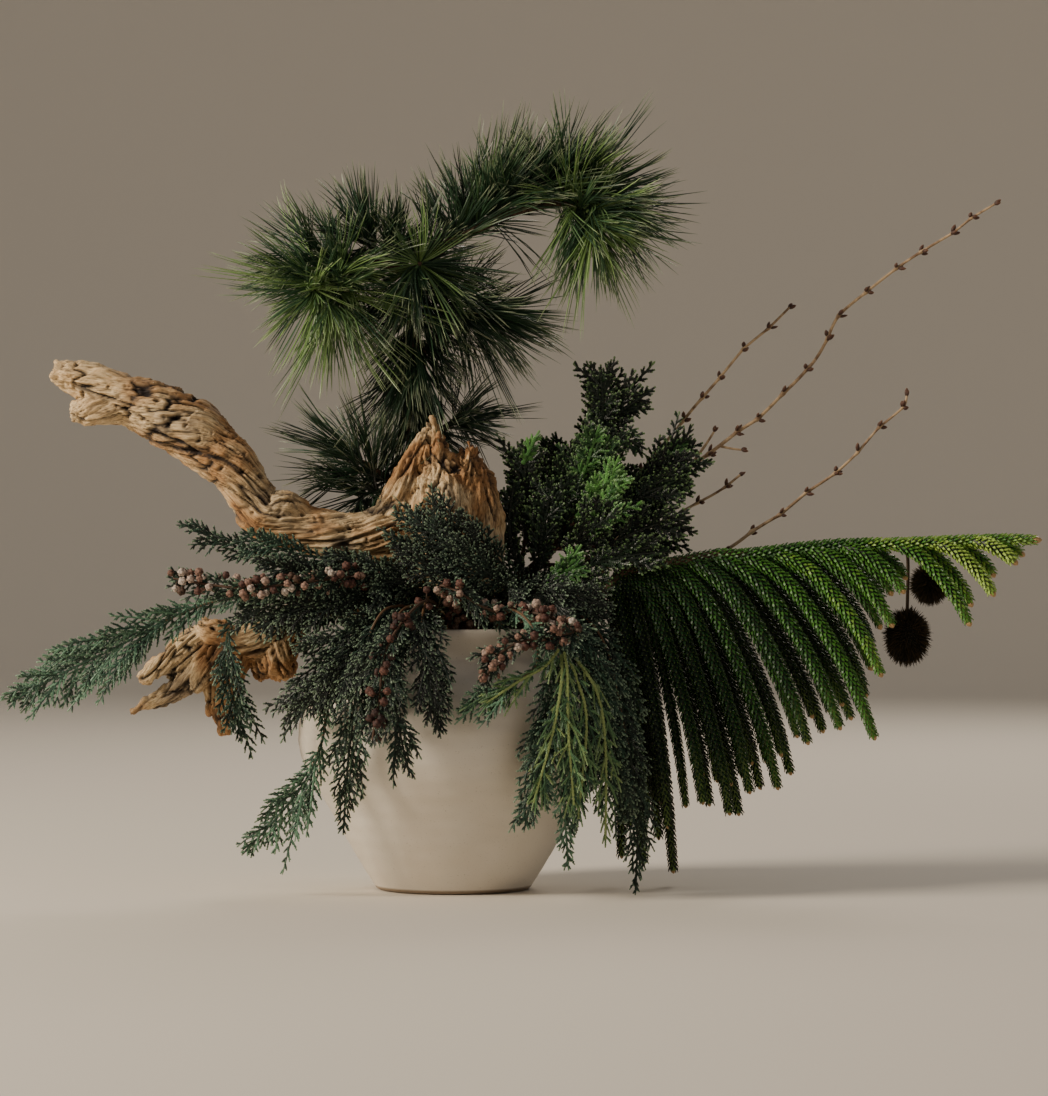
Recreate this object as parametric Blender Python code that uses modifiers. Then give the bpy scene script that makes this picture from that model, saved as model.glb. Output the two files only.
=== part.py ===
# An ikebana arrangement: evergreen boughs, driftwood, bare twigs and cones standing in a round stoneware vase.
# The script works in metres with +Z up. The origin is the centre of the vase's foot, and -Y is the front.
# Routes are lists of (x, y, z, size) in millimetres, turned to metres by MM.
import math
import random

import bmesh
import bpy
from mathutils import Vector

MM = 0.001
GAP = 0.4  # mm left between neighbours

# Vase, mm
FOOT_R = 57.0
BELLY_R = 116.0
COLLAR_R = 83.5
VASE_H = 195.5
WALL = 6.5
FLOOR = 9.0
VASE_STEPS = 32

# Kenzan, mm
KENZAN_R = 45.0
KENZAN_H = 12.0
PIN_H = 12.0
PIN_R = 1.1
PIN_SPACING = 14.0

# Stems, mm: each rises straight from the pins to its own place in the mouth
STEM_FOOT_Z = FLOOR + KENZAN_H + PIN_H + 1.0
MOUTH_Z = 200.0
FOOT_SPREAD = 0.5  # a stem's distance from the axis at the pins, as a share of that at the mouth
SPRIG_R = 1.6
BLADE_THICKNESS = 3.6
BRANCH_GAP = 2.6  # mm between a branch's end and the spray that grows from it

# Norfolk Island pine frond, mm
BRANCHLET_R = 5.2

LOOKS = {
    "stoneware": ((0.68, 0.62, 0.53), 0.55, 0.0),
    "kenzan": ((0.45, 0.36, 0.18), 0.4, 1.0),
    "driftwood": ((0.48, 0.33, 0.2), 0.8, 0.0),
    "bark": ((0.13, 0.09, 0.06), 0.85, 0.0),
    "pine": ((0.06, 0.14, 0.07), 0.6, 0.0),
    "hinoki": ((0.03, 0.11, 0.04), 0.6, 0.0),
    "cypress": ((0.05, 0.14, 0.1), 0.6, 0.0),
    "norfolk": ((0.1, 0.26, 0.05), 0.55, 0.0),
    "twig": ((0.4, 0.3, 0.2), 0.7, 0.0),
    "cone": ((0.25, 0.15, 0.12), 0.75, 0.0),
    "bristle": ((0.03, 0.04, 0.02), 0.8, 0.0),
}


def clear_scene():
    for obj in list(bpy.data.objects):
        bpy.data.objects.remove(obj)


def make_collection(name):
    collection = bpy.data.collections.new(name)
    bpy.context.scene.collection.children.link(collection)
    return collection


def make_material(name, look):
    colour, roughness, metallic = LOOKS[look]
    material = bpy.data.materials.new(name)
    material.use_nodes = True
    shader = material.node_tree.nodes["Principled BSDF"]
    shader.inputs["Base Color"].default_value = (*colour, 1.0)
    shader.inputs["Roughness"].default_value = roughness
    shader.inputs["Metallic"].default_value = metallic
    material.diffuse_color = (*colour, 1.0)
    return material


def finish_node(obj, look):
    """Gives a piece its own material and smooth shading, and puts it with the parts."""
    obj.data.materials.clear()
    obj.data.materials.append(make_material(obj.name + "_surface", look))
    obj.data.shade_smooth()
    obj.data.set_sharp_from_angle(angle=math.radians(40))
    parts.objects.link(obj)
    return obj


# Curves and routes


def entry(mouth_x, mouth_y, size):
    """A stem's straight start: from the pins up to its place in the mouth."""
    foot = (mouth_x * FOOT_SPREAD, mouth_y * FOOT_SPREAD, STEM_FOOT_Z, size)
    middle_share = (1.0 + FOOT_SPREAD) / 2.0
    middle = (mouth_x * middle_share, mouth_y * middle_share, (STEM_FOOT_Z + MOUTH_Z) / 2.0, size)
    return [foot, middle, (mouth_x, mouth_y, MOUTH_Z, size)]


def smooth_route(points, per_span=2):
    """Points along a Catmull-Rom curve through the route's own points, sizes included."""
    padded = [points[0]] + list(points) + [points[-1]]
    route = []
    for index in range(1, len(padded) - 2):
        before, start, end, after = padded[index - 1:index + 3]
        for step in range(per_span):
            t = step / per_span
            route.append(tuple(
                0.5 * (2 * b + (c - a) * t + (2 * a - 5 * b + 4 * c - d) * t ** 2
                       + (3 * b - a - 3 * c + d) * t ** 3)
                for a, b, c, d in zip(before, start, end, after)
            ))
    route.append(tuple(points[-1]))
    return route


def tube(name, points, resolution=2, per_span=2, grow=0.0):
    """A round tube along a route, as a welded mesh. Its radius is each point's size."""
    route = smooth_route(points, per_span)
    curve = bpy.data.curves.new(name, "CURVE")
    curve.dimensions = "3D"
    curve.bevel_depth = MM
    curve.bevel_resolution = resolution
    curve.use_fill_caps = True
    spline = curve.splines.new("POLY")
    spline.points.add(len(route) - 1)
    for point, (x, y, z, radius) in zip(spline.points, route):
        point.co = (x * MM, y * MM, z * MM, 1.0)
        point.radius = max(radius, 0.4) + grow
    path = bpy.data.objects.new(name + "_path", curve)
    workshop.objects.link(path)
    mesh = bpy.data.meshes.new_from_object(path.evaluated_get(bpy.context.evaluated_depsgraph_get()))
    shell = bmesh.new()
    shell.from_mesh(mesh)
    bmesh.ops.remove_doubles(shell, verts=shell.verts, dist=0.001 * MM)
    shell.to_mesh(mesh)
    shell.free()
    mesh.name = name
    piece = bpy.data.objects.new(name, mesh)
    piece.matrix_world = path.matrix_world
    bpy.data.objects.remove(path)
    return piece


def primitive(name, make, scale=(1.0, 1.0, 1.0), place=(0.0, 0.0, 0.0), **settings):
    """A bmesh primitive of sizes in mm, scaled and placed in its mesh."""
    shell = bmesh.new()
    made = make(shell, **settings)
    for vert in made["verts"]:
        vert.co = [(c * s + p) * MM for c, s, p in zip(vert.co, scale, place)]
    mesh = bpy.data.meshes.new(name)
    shell.to_mesh(mesh)
    shell.free()
    return bpy.data.objects.new(name, mesh)


def combine(piece, others, operation="UNION"):
    """Applies one exact Boolean for each of the others, which are then removed."""
    workshop.objects.link(piece)
    for other in others:
        workshop.objects.link(other)
        cut = piece.modifiers.new(operation.lower(), "BOOLEAN")
        cut.operation = operation
        cut.solver = "EXACT"
        cut.object = other
    depsgraph = bpy.context.evaluated_depsgraph_get()
    mesh = bpy.data.meshes.new_from_object(piece.evaluated_get(depsgraph))
    piece.modifiers.clear()
    piece.data = mesh
    workshop.objects.unlink(piece)
    for other in others:
        bpy.data.objects.remove(other)
    return piece


def joined(name, pieces):
    """One object that holds the meshes of several pieces."""
    shell = bmesh.new()
    for piece in pieces:
        shell.from_mesh(piece.data)
        bpy.data.objects.remove(piece)
    mesh = bpy.data.meshes.new(name)
    shell.to_mesh(mesh)
    shell.free()
    return bpy.data.objects.new(name, mesh)


# Vase and kenzan


def vase_profile():
    """(radius, height) in mm from the inside floor's centre, over the rim and down to the foot's centre."""
    outer = [
        (COLLAR_R - 3.5, VASE_H), (COLLAR_R - 1.0, VASE_H - 1.5), (COLLAR_R + 0.5, VASE_H - 5.5),
        (COLLAR_R, VASE_H - 11.5), (COLLAR_R + 0.5, VASE_H - 20.5), (COLLAR_R + 4.0, VASE_H - 26.5),
        (96.0, 160.0), (107.0, 147.0), (114.0, 130.0), (BELLY_R, 113.0), (113.0, 97.0),
        (105.0, 80.0), (92.0, 59.0), (79.0, 36.0), (66.0, 14.0), (FOOT_R + 1.0, 3.0), (FOOT_R - 2.0, 0.0),
    ]
    inner = [(0.0, FLOOR), (48.0, FLOOR), (56.0, 13.0), (63.0, 22.0), (73.0, 38.0), (85.5, 59.0)]
    inner += [(r - WALL, z) for r, z in reversed(outer[3:12])]
    inner += [(COLLAR_R - WALL, VASE_H - 5.0), (COLLAR_R - WALL + 1.5, VASE_H - 1.0)]
    return inner + outer + [(0.0, 0.0)]


def make_vase():
    profile = vase_profile()
    mesh = bpy.data.meshes.new("vase")
    edges = [(i, i + 1) for i in range(len(profile) - 1)]
    mesh.from_pydata([(r * MM, 0.0, z * MM) for r, z in profile], edges, [])
    vase = bpy.data.objects.new("vase", mesh)
    turn = vase.modifiers.new("turn", "SCREW")
    turn.steps = VASE_STEPS
    turn.render_steps = VASE_STEPS
    turn.use_merge_vertices = True
    turn.merge_threshold = 0.00001
    turn.use_smooth_shade = True
    finish_node(vase, "stoneware")


def make_kenzan():
    base_z = FLOOR + GAP
    plate = primitive(
        "kenzan", bmesh.ops.create_cone, place=(0.0, 0.0, base_z + KENZAN_H / 2), cap_ends=True,
        segments=32, radius1=KENZAN_R, radius2=KENZAN_R - 1.0, depth=KENZAN_H,
    )
    pins = []
    rows = int(KENZAN_R / PIN_SPACING) + 1
    for row in range(-rows, rows + 1):
        for column in range(-rows, rows + 1):
            x = (column + 0.5 * (row % 2)) * PIN_SPACING
            y = row * PIN_SPACING * math.sqrt(0.75)
            if math.hypot(x, y) < KENZAN_R - 5.0:
                pins.append(primitive(
                    "pin", bmesh.ops.create_cone, cap_ends=True, segments=6, radius1=PIN_R,
                    radius2=0.3, depth=PIN_H, place=(x, y, base_z + KENZAN_H + PIN_H / 2 - 1.0),
                ))
    finish_node(combine(plate, [joined("pins", pins)]), "kenzan")


# Driftwood


def make_driftwood():
    stump = tube("driftwood_arm", [
        (0, 1, STEM_FOOT_Z, 10), (0, 1, 117, 15), (0, 2, 200, 20), (-4, -5, 228, 25), (-8, -12, 262, 30),
        (-9, -12, 285, 28), (-10, -10, 305, 22), (-13, -8, 326, 12), (-17, -7, 349, 3),
    ], resolution=3)
    second_top = tube("second_top", [(4, -10, 275, 22), (9, -8, 303, 17), (14, -7, 332, 5)])
    flare = tube("flare", [
        (-66, -20, 264, 15), (-54, -18, 273, 15), (-42, -16, 292, 12), (-32, -14, 316, 8), (-23, -12, 338, 4),
    ])
    arm = tube("arm", [
        (-14, -14, 262, 21), (-48, -20, 262, 20), (-84, -26, 264, 18), (-113, -30, 270, 17),
        (-137, -31, 277, 16), (-148, -31, 291, 17), (-163, -31, 314, 19), (-188, -30, 338, 24),
        (-211, -30, 351, 24), (-240, -29, 365, 19), (-263, -28, 376, 16), (-284, -28, 383, 13),
        (-297, -28, 388, 8),
    ], resolution=3)
    knob = tube("knob", [(-255, -30, 366, 9), (-274, -31, 360, 9), (-281, -31, 359, 6)])
    lump = tube("lump", [(-110, -30, 276, 10), (-124, -36, 286, 12), (-140, -34, 284, 8)])
    finish_node(combine(stump, [second_top, flare, arm, knob, lump]), "driftwood")

    body = tube("driftwood_root", entry(-46, -2, 8)[:2] + [
        (-46, -2, 200, 9), (-62, -8, 212, 10), (-84, -18, 217, 10), (-108, -28, 210, 11), (-130, -38, 190, 15),
        (-155, -42, 184, 14), (-178, -44, 191, 12), (-189, -44, 198, 7),
    ])
    fingers = [
        tube("finger", [(-178, -43, 192, 11), (-200, -42, 182, 10), (-216, -41, 168, 8), (-230, -41, 157, 4)]),
        tube("finger", [(-168, -42, 184, 13), (-190, -40, 162, 12), (-212, -38, 146, 8), (-238, -36, 133, 4)]),
        tube("finger", [(-166, -46, 184, 10), (-180, -50, 166, 9), (-190, -52, 150, 5)]),
        tube("finger", [(-158, -42, 180, 12), (-166, -42, 158, 11), (-168, -41, 138, 10), (-168, -40, 117, 5)]),
        tube("finger", [(-132, -40, 186, 13), (-128, -42, 172, 14), (-122, -44, 159, 8)]),
    ]
    finish_node(combine(body, fingers), "driftwood")


# Pine


def pine_wood(grow=0.0):
    """The pine bough's stem and side branches as separate tubes."""
    routes = [
        entry(-29, 30, 6) + [(-30, 30, 262, 6), (-30, 29, 330, 6), (-31, 26, 400, 5.5), (-28, 21, 468, 5)],
        [(-29, 23, 460, 4), (-58, 17, 470, 3.6), (-84, 15, 462, 3)],
        [(-29, 22, 462, 4), (-8, 20, 482, 4), (14, 18, 494, 3.8), (46, 16, 508, 3.5), (78, 15, 515, 3),
         (96, 15, 514, 2.6)],
        [(-31, 27, 398, 3.5), (-8, 37, 418, 3), (18, 43, 434, 2.5)],
        [(-30, 30, 286, 3.5), (-46, 27, 303, 3), (-66, 25, 318, 2.5)],
        [(-30, 29, 326, 3.5), (-12, 36, 342, 3), (-2, 41, 350, 2.5)],
    ]
    return [tube("pine_stem", route, grow=grow) for route in routes]


TUFT_FINENESS = 2
TUFTS = {  # centre and radii, mm
    "pine_tuft_left": ((-100, 15, 446), (58, 46, 62)),
    "pine_tuft_centre": ((-27, 20, 458), (50, 46, 52)),
    "pine_tuft_back": ((40, 44, 428), (44, 30, 30)),
    "pine_tuft_arch": ((24, 18, 522), (42, 36, 50)),
    "pine_tuft_tip": ((112, 15, 512), (58, 44, 68)),
    "pine_tuft_low_left": ((-84, 26, 330), (36, 28, 32)),
    "pine_tuft_low_right": ((6, 46, 354), (34, 24, 24)),
}


def make_pine():
    stem, *branches = pine_wood()
    finish_node(combine(stem, branches), "bark")
    made = []
    for name, (centre, radii) in TUFTS.items():
        tuft = primitive(name, bmesh.ops.create_icosphere, radii, centre, subdivisions=TUFT_FINENESS, radius=1.0)
        cutters = pine_wood(grow=GAP)
        for other_centre, other_radii in made:
            grown = [radius + GAP for radius in other_radii]
            cutters.append(primitive(
                "neighbour", bmesh.ops.create_icosphere, grown, other_centre,
                subdivisions=TUFT_FINENESS, radius=1.0,
            ))
        made.append((centre, radii))
        finish_node(combine(tuft, cutters, "DIFFERENCE"), "pine")


# Flat sprays of cypress and hinoki


def spray_frames(centres, first_flat):
    """A width direction for each section: level with the front where flat, carried back down the stem."""
    front = Vector((0.0, -1.0, 0.0))
    tangents = []
    for index in range(len(centres)):
        ahead = centres[min(index + 1, len(centres) - 1)]
        behind = centres[max(index - 1, 0)]
        tangents.append((ahead - behind).normalized())
    widths = [None] * len(centres)
    for index in range(first_flat, len(centres)):
        widths[index] = tangents[index].cross(front).normalized()
    for index in range(first_flat - 1, -1, -1):
        turn = tangents[index + 1].rotation_difference(tangents[index])
        widths[index] = (turn @ widths[index + 1]).normalized()
    return tangents, widths


def spray(name, look, stem, blade, sides=6):
    """A cut sprig: a thin round stem that opens into a flat blade whose sizes are half widths."""
    per_span = 2
    route = smooth_route(stem + blade, per_span)
    first_flat = len(stem) * per_span
    centres = [Vector(point[:3]) for point in route]
    tangents, widths = spray_frames(centres, first_flat)
    shell = bmesh.new()
    rings = []
    for index, (centre, tangent, width) in enumerate(zip(centres, tangents, widths)):
        across = max(route[index][3], 1.0)
        deep = SPRIG_R if index < first_flat else BLADE_THICKNESS / 2
        deep = min(deep, across)
        depth = tangent.cross(width).normalized()
        ring = []
        for side in range(sides):
            angle = 2 * math.pi * side / sides
            corner = centre + width * (across * math.cos(angle)) + depth * (deep * math.sin(angle))
            ring.append(shell.verts.new(corner * MM))
        rings.append(ring)
    for ring, following in zip(rings, rings[1:]):
        for side in range(sides):
            after = (side + 1) % sides
            shell.faces.new((ring[side], ring[after], following[after], following[side]))
    shell.faces.new(reversed(rings[0]))
    shell.faces.new(rings[-1])
    bmesh.ops.recalc_face_normals(shell, faces=shell.faces)
    mesh = bpy.data.meshes.new(name)
    shell.to_mesh(mesh)
    shell.free()
    finish_node(bpy.data.objects.new(name, mesh), look)


CYPRESS = {  # place in the mouth, stem beyond it, blade
    "cypress_far_left": ((-60, 16), [(-78, -6, 233), (-102, -40, 236), (-142, -66, 222)], [
        (-180, -70, 214, 9), (-209, -75, 202, 22), (-242, -78, 184, 22), (-283, -72, 164, 15), (-322, -62, 143, 3)]),
    "cypress_upper_left": ((-62, -16), [(-82, -38, 228)], [
        (-118, -54, 243, 6), (-150, -60, 253, 9), (-174, -64, 262, 7), (-196, -66, 272, 2)]),
    "cypress_inner_left": ((-52, -28), [(-66, -48, 234)], [
        (-86, -68, 246, 6), (-110, -76, 250, 13), (-131, -78, 256, 12), (-150, -78, 264, 3)]),
    "cypress_over_root": ((-44, -40), [(-72, -76, 205), (-118, -88, 206)], [
        (-158, -84, 200, 5), (-163, -84, 174, 13), (-157, -82, 145, 12), (-154, -78, 118, 3)]),
    "cypress_fan_left": ((-24, -42), [(-46, -78, 212)], [
        (-62, -94, 202, 7), (-80, -104, 181, 14), (-101, -99, 157, 12), (-121, -87, 139, 2)]),
    "cypress_fan_down": ((-24, -58), [(-44, -92, 212)], [
        (-58, -106, 194, 7), (-66, -116, 158, 13), (-73, -112, 110, 12), (-78, -92, 52, 3)]),
    "cypress_fan_mid": ((-10, -50), [(-32, -98, 212)], [
        (-44, -122, 190, 7), (-42, -131, 160, 12), (-37, -132, 128, 10), (-30, -128, 96, 3)]),
    "cypress_fan_right": ((-10, -34), [(-16, -72, 219)], [
        (-21, -100, 204, 6), (-20, -116, 178, 11), (-14, -124, 150, 9), (-8, -127, 124, 3)]),
    "cypress_low_left": ((-36, -50), [(-66, -74, 206), (-88, -86, 168)], [
        (-92, -98, 122, 5), (-102, -96, 92, 14), (-124, -84, 62, 12), (-150, -70, 34, 3)]),
    "cypress_centre": ((8, -40), [(6, -58, 216)], [
        (4, -66, 226, 8), (-6, -72, 244, 22), (-18, -74, 264, 14), (-29, -74, 282, 3)]),
    "cypress_middle": ((-26, -26), [(-38, -42, 213)], [
        (-54, -58, 221, 6), (-76, -66, 218, 11), (-98, -70, 209, 11), (-120, -72, 197, 3)]),
    "cypress_rim": ((22, -30), [(34, -48, 214)], [
        (48, -58, 221, 6), (68, -64, 225, 10), (90, -66, 222, 9), (110, -64, 214, 3)]),
    "cypress_small_right": ((20, -60), [(44, -92, 210), (60, -116, 196)], [
        (62, -124, 172, 4), (50, -124, 160, 11), (30, -126, 149, 9), (10, -125, 139, 2)]),
    "cypress_hang_front": ((36, -42), [(60, -76, 208), (78, -100, 186)], [
        (83, -108, 164, 4), (85, -110, 128, 6), (82, -104, 80, 8), (85, -88, 26, 3)]),
    "cypress_hang_left": ((34, -58), [(60, -86, 204)], [
        (78, -112, 176, 4), (75, -122, 140, 6), (64, -124, 100, 14), (54, -118, 56, 4)]),
    "cypress_hang_right": ((48, -30), [(78, -64, 208)], [
        (96, -82, 178, 4), (110, -90, 134, 10), (118, -88, 94, 10), (126, -82, 60, 3)]),
    "cypress_hang_long": ((58, -18), [(92, -48, 206)], [
        (114, -64, 180, 4), (130, -66, 110, 12), (136, -64, 50, 9), (135, -60, 6, 1)]),
}

HINOKI = {  # blades only: each grows from an end of the hinoki stem
    "hinoki_top": [(105, 35, 322, 6), (112, 36, 344, 22), (116, 36, 364, 24), (114, 36, 386, 5)],
    "hinoki_bright": [(92, 8, 274, 6), (97, 6, 290, 16), (104, 4, 312, 18), (108, 4, 338, 4)],
    "hinoki_left": [(54, 16, 262, 5), (52, 10, 282, 13), (53, 8, 306, 13), (57, 8, 330, 3)],
    "hinoki_inner_left": [(52, 2, 236, 4), (44, 0, 254, 8), (42, 0, 276, 9), (45, 0, 300, 3)],
    "hinoki_right": [(124, 32, 276, 5), (142, 35, 294, 17), (160, 38, 314, 19), (179, 40, 334, 4)],
    "hinoki_low_right": [(104, 20, 244, 5), (128, 18, 250, 13), (152, 18, 260, 13), (174, 19, 268, 3)],
    "hinoki_back": [(82, 46, 272, 5), (84, 51, 290, 15), (82, 53, 314, 15), (78, 53, 338, 3)],
    "hinoki_front": [(68, -14, 226, 4), (76, -20, 232, 9), (85, -23, 238, 9), (93, -24, 243, 2)],
    "hinoki_back_right": [(122, 72, 256, 5), (138, 84, 272, 14), (150, 90, 288, 13), (159, 95, 306, 3)],
}


def make_hinoki_stem():
    """The hinoki bough's stem: a leader with a short branch towards the start of each spray."""
    leader = tube("hinoki_stem", entry(30, 24, 4) + [
        (48, 28, 228, 4), (72, 30, 252, 3.8), (90, 32, 280, 3.2), (102, 34, 306, 2.4), (104.5, 35, 320, 1.8),
    ])
    joints = {
        "hinoki_bright": (76, 30, 257), "hinoki_left": (47, 28, 226), "hinoki_inner_left": (42, 26, 220),
        "hinoki_right": (90, 32, 280), "hinoki_low_right": (62, 29, 242), "hinoki_back": (70, 30, 250),
        "hinoki_front": (44, 27, 223), "hinoki_back_right": (74, 30, 255),
    }
    branches = []
    for name, joint in joints.items():
        target = Vector(HINOKI[name][0][:3])
        start = Vector(joint)
        end = target - (target - start).normalized() * BRANCH_GAP
        branches.append(tube("branch", [(*start, 2.2), (*start.lerp(end, 0.5), 1.8), (*end, 1.4)], 1))
    finish_node(combine(leader, branches), "bark")


def make_sprays():
    for name, (mouth, stem, blade) in CYPRESS.items():
        stem_points = entry(*mouth, SPRIG_R) + [(*point, SPRIG_R) for point in stem]
        spray(name, "cypress", stem_points, blade)
    for name, blade in HINOKI.items():
        spray(name, "hinoki", [], blade)


# Bare twigs

TWIGS = {
    "twig_upper": ((20, 40), [(88, 62, 262), (162, 80, 335), (191, 76, 373), (224, 72, 409), (257, 68, 440)]),
    "twig_long": ((38, 38), [(104, 56, 248), (168, 64, 309), (223, 56, 348), (270, 48, 391), (293, 42, 431),
                             (335, 34, 468), (383, 24, 498), (409, 18, 515)]),
    "twig_short": ((52, 34), [(112, 46, 238), (166, 50, 279), (199, 48, 298), (218, 46, 311)]),
    "twig_lower": ((60, 24), [(118, 38, 226), (199, 44, 251), (244, 42, 279), (288, 36, 312), (318, 32, 341),
                              (339, 28, 362), (343, 28, 371)]),
}


def make_twigs():
    for name, (mouth, route) in TWIGS.items():
        points = entry(*mouth, 2.2)
        points += [(*point, 2.2 - 1.2 * (i + 1) / len(route)) for i, point in enumerate(route)]
        finish_node(tube(name, points), "twig")


# Small cones on cypress twigs

CONE_TWIGS = {  # place in the mouth, route, number of cones, share of the route where they start
    "cones_left": ((-34, -28), [(-56, -64, 232), (-88, -96, 232), (-117, -104, 229), (-145, -106, 226),
                                (-171, -104, 228), (-201, -98, 233)], 14, 0.5),
    "cones_centre": ((6, -56), [(-8, -88, 226), (4, -100, 224), (20, -102, 214), (36, -98, 207)], 6, 0.62),
    "cones_front": ((-8, -64), [(-20, -108, 216), (-44, -142, 186), (-50, -148, 150), (-55, -144, 118)], 7, 0.7),
    "cones_right": ((22, -46), [(60, -100, 208), (88, -116, 196), (76, -128, 192), (52, -132, 188),
                                (34, -136, 178), (25, -138, 160)], 9, 0.62),
}
CONE_R = 4.3
GOLDEN_ANGLE = math.radians(137.5)


def make_cone_twigs():
    for name, (mouth, route, count, first) in CONE_TWIGS.items():
        points = entry(*mouth, 1.4) + [(*point, 1.4) for point in route]
        twig = tube(name, points)
        line = smooth_route(points, 6)
        cones = []
        for number in range(count):
            share = first + (1.0 - first) * number / (count - 1)
            x, y, z, _ = line[min(int(share * len(line)), len(line) - 1)]
            angle = number * GOLDEN_ANGLE
            place = (x, y + 3.4 * math.cos(angle), z + 3.4 * math.sin(angle))
            size = CONE_R * (1.0 + 0.12 * math.sin(2.3 * number))
            cones.append(primitive(
                "cone", bmesh.ops.create_icosphere, (size, size, size), place, subdivisions=1, radius=1.0,
            ))
        finish_node(combine(twig, cones), "cone")


# Norfolk Island pine branch

NORFOLK_AXIS = [
    (113, 5, 224.2, 4.5), (121, 3.4, 230, 4.4), (130, 2, 237, 4.3), (164, 0, 244, 4.0), (197, -3, 250, 4.0),
    (221, -6, 250, 4.8), (279, -12, 256, 5), (337, -18, 258, 4.8), (384, -24, 260, 4.4), (412, -27, 261, 3.6),
    (434, -30, 261, 1.6),
]
BRANCHLETS = [  # x where it leaves the axis, then x and z of its tip
    (119, 127, 22), (121, 142, 20), (123, 155, 36), (126, 160, 48), (129, 166, 11), (132, 186, 66),
    (136, 193, 62), (141, 206, 58), (146, 215, 55), (151, 221, 74), (156, 231, 75), (162, 242, 77),
    (170, 254, 86), (179, 264, 111), (188, 278, 118), (198, 288, 122), (208, 299, 128), (219, 313, 115),
    (230, 309, 151), (241, 318, 162),
    (253, 314, 184), (266, 326, 199), (278, 322, 216), (290, 334, 224), (304, 338, 234), (330, 383, 200),
    (345, 387, 214), (358, 400, 222), (372, 403, 236), (386, 416, 245), (399, 424, 251),
]


def make_norfolk():
    finish_node(tube("norfolk_stem", entry(50, 8, 5.5) + [
        (62, 8, 211, 5.2), (84, 7, 217, 5), (103, 5.6, 220.5, 4.7), (110.8, 5.2, 223, 4.6)]), "bark")
    axis = tube("norfolk_frond", NORFOLK_AXIS)
    line = smooth_route(NORFOLK_AXIS, 8)
    draw = random.Random(7)
    branchlets = []
    for number, (start_x, tip_x, tip_z) in enumerate(BRANCHLETS):
        x, y, z, _ = min(line, key=lambda point: abs(point[0] - start_x))
        side = -1 if number % 2 else 1
        reach, drop = tip_x - x, z - tip_z
        spread = side * (27 - 14 * number / len(BRANCHLETS)) * draw.uniform(0.8, 1.1)
        branchlets.append(tube("branchlet", [
            (x, y, z, BRANCHLET_R - 1.2),
            (x + 0.34 * reach, y + 0.55 * spread, z - 0.16 * drop, BRANCHLET_R),
            (x + 0.63 * reach, y + 0.88 * spread, z - 0.44 * drop, BRANCHLET_R),
            (x + 0.86 * reach, y + spread, z - 0.74 * drop, BRANCHLET_R - 0.5),
            (x + reach, y + 0.97 * spread, z - drop, BRANCHLET_R - 2.2),
        ], resolution=1, per_span=1))
    finish_node(combine(axis, branchlets), "norfolk")


BRISTLE_CONES = {  # centre and radii, then its stalk from beside the frond's axis
    "bristle_cone_low": ((343, 26, 188), (17, 17, 21), [
        (332, -11, 264.5, 1.2), (331, 6, 264, 1.2), (338, 24, 240, 1.2), (343, 26, 206, 1.2)]),
    "bristle_cone_high": ((360, 24, 228), (14, 14, 15), [
        (352, -13, 265.5, 1.2), (354, 6, 266, 1.2), (359, 22, 252, 1.2), (360, 24, 240, 1.2)]),
}


def make_bristle_cones():
    for name, (centre, radii, stalk) in BRISTLE_CONES.items():
        ball = primitive(name, bmesh.ops.create_icosphere, radii, centre, subdivisions=2, radius=1.0)
        finish_node(combine(ball, [tube("stalk", stalk, 1)]), "bristle")


clear_scene()
parts = make_collection("ikebana_arrangement")
workshop = make_collection("workshop")
workshop.hide_render = True
make_vase()
make_kenzan()
make_driftwood()
make_pine()
make_hinoki_stem()
make_sprays()
make_twigs()
make_cone_twigs()
make_norfolk()
make_bristle_cones()
bpy.data.collections.remove(workshop)
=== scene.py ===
import math
import random

import bmesh
import bpy
import numpy as np
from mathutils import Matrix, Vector, noise


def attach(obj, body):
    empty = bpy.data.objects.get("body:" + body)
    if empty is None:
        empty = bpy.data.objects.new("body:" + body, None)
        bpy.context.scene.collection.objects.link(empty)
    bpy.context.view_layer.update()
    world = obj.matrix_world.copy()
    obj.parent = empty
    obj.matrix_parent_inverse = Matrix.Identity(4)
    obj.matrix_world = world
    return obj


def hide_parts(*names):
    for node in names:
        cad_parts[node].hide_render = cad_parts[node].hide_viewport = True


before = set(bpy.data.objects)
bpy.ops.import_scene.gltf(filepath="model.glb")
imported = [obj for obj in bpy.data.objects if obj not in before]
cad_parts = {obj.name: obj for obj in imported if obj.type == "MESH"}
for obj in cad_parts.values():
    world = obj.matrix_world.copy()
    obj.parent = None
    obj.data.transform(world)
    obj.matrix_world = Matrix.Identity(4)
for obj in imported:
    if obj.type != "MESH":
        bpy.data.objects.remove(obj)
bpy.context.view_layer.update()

mm = 0.001  # routes and sizes below are in millimetres
rng = np.random.default_rng(21)
front = np.array([0.0, -1.0, 0.0])
down = np.array([0.0, 0.0, -1.0])
leafTone = 0.84  # the u of a leaf's brightest tone
woodFrom = 0.88  # foliage materials show wood above this u
woodTone = 0.96  # the u of stems and end buds
goldenTurn = 2.39996  # radians between neighbours set in a spiral


def hexColour(code):
    channels = [int(code[i:i + 2], 16) / 255 for i in (1, 3, 5)]
    linear = [c / 12.92 if c <= 0.04045 else ((c + 0.055) / 1.055) ** 2.4 for c in channels]
    return (*linear, 1.0)


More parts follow.
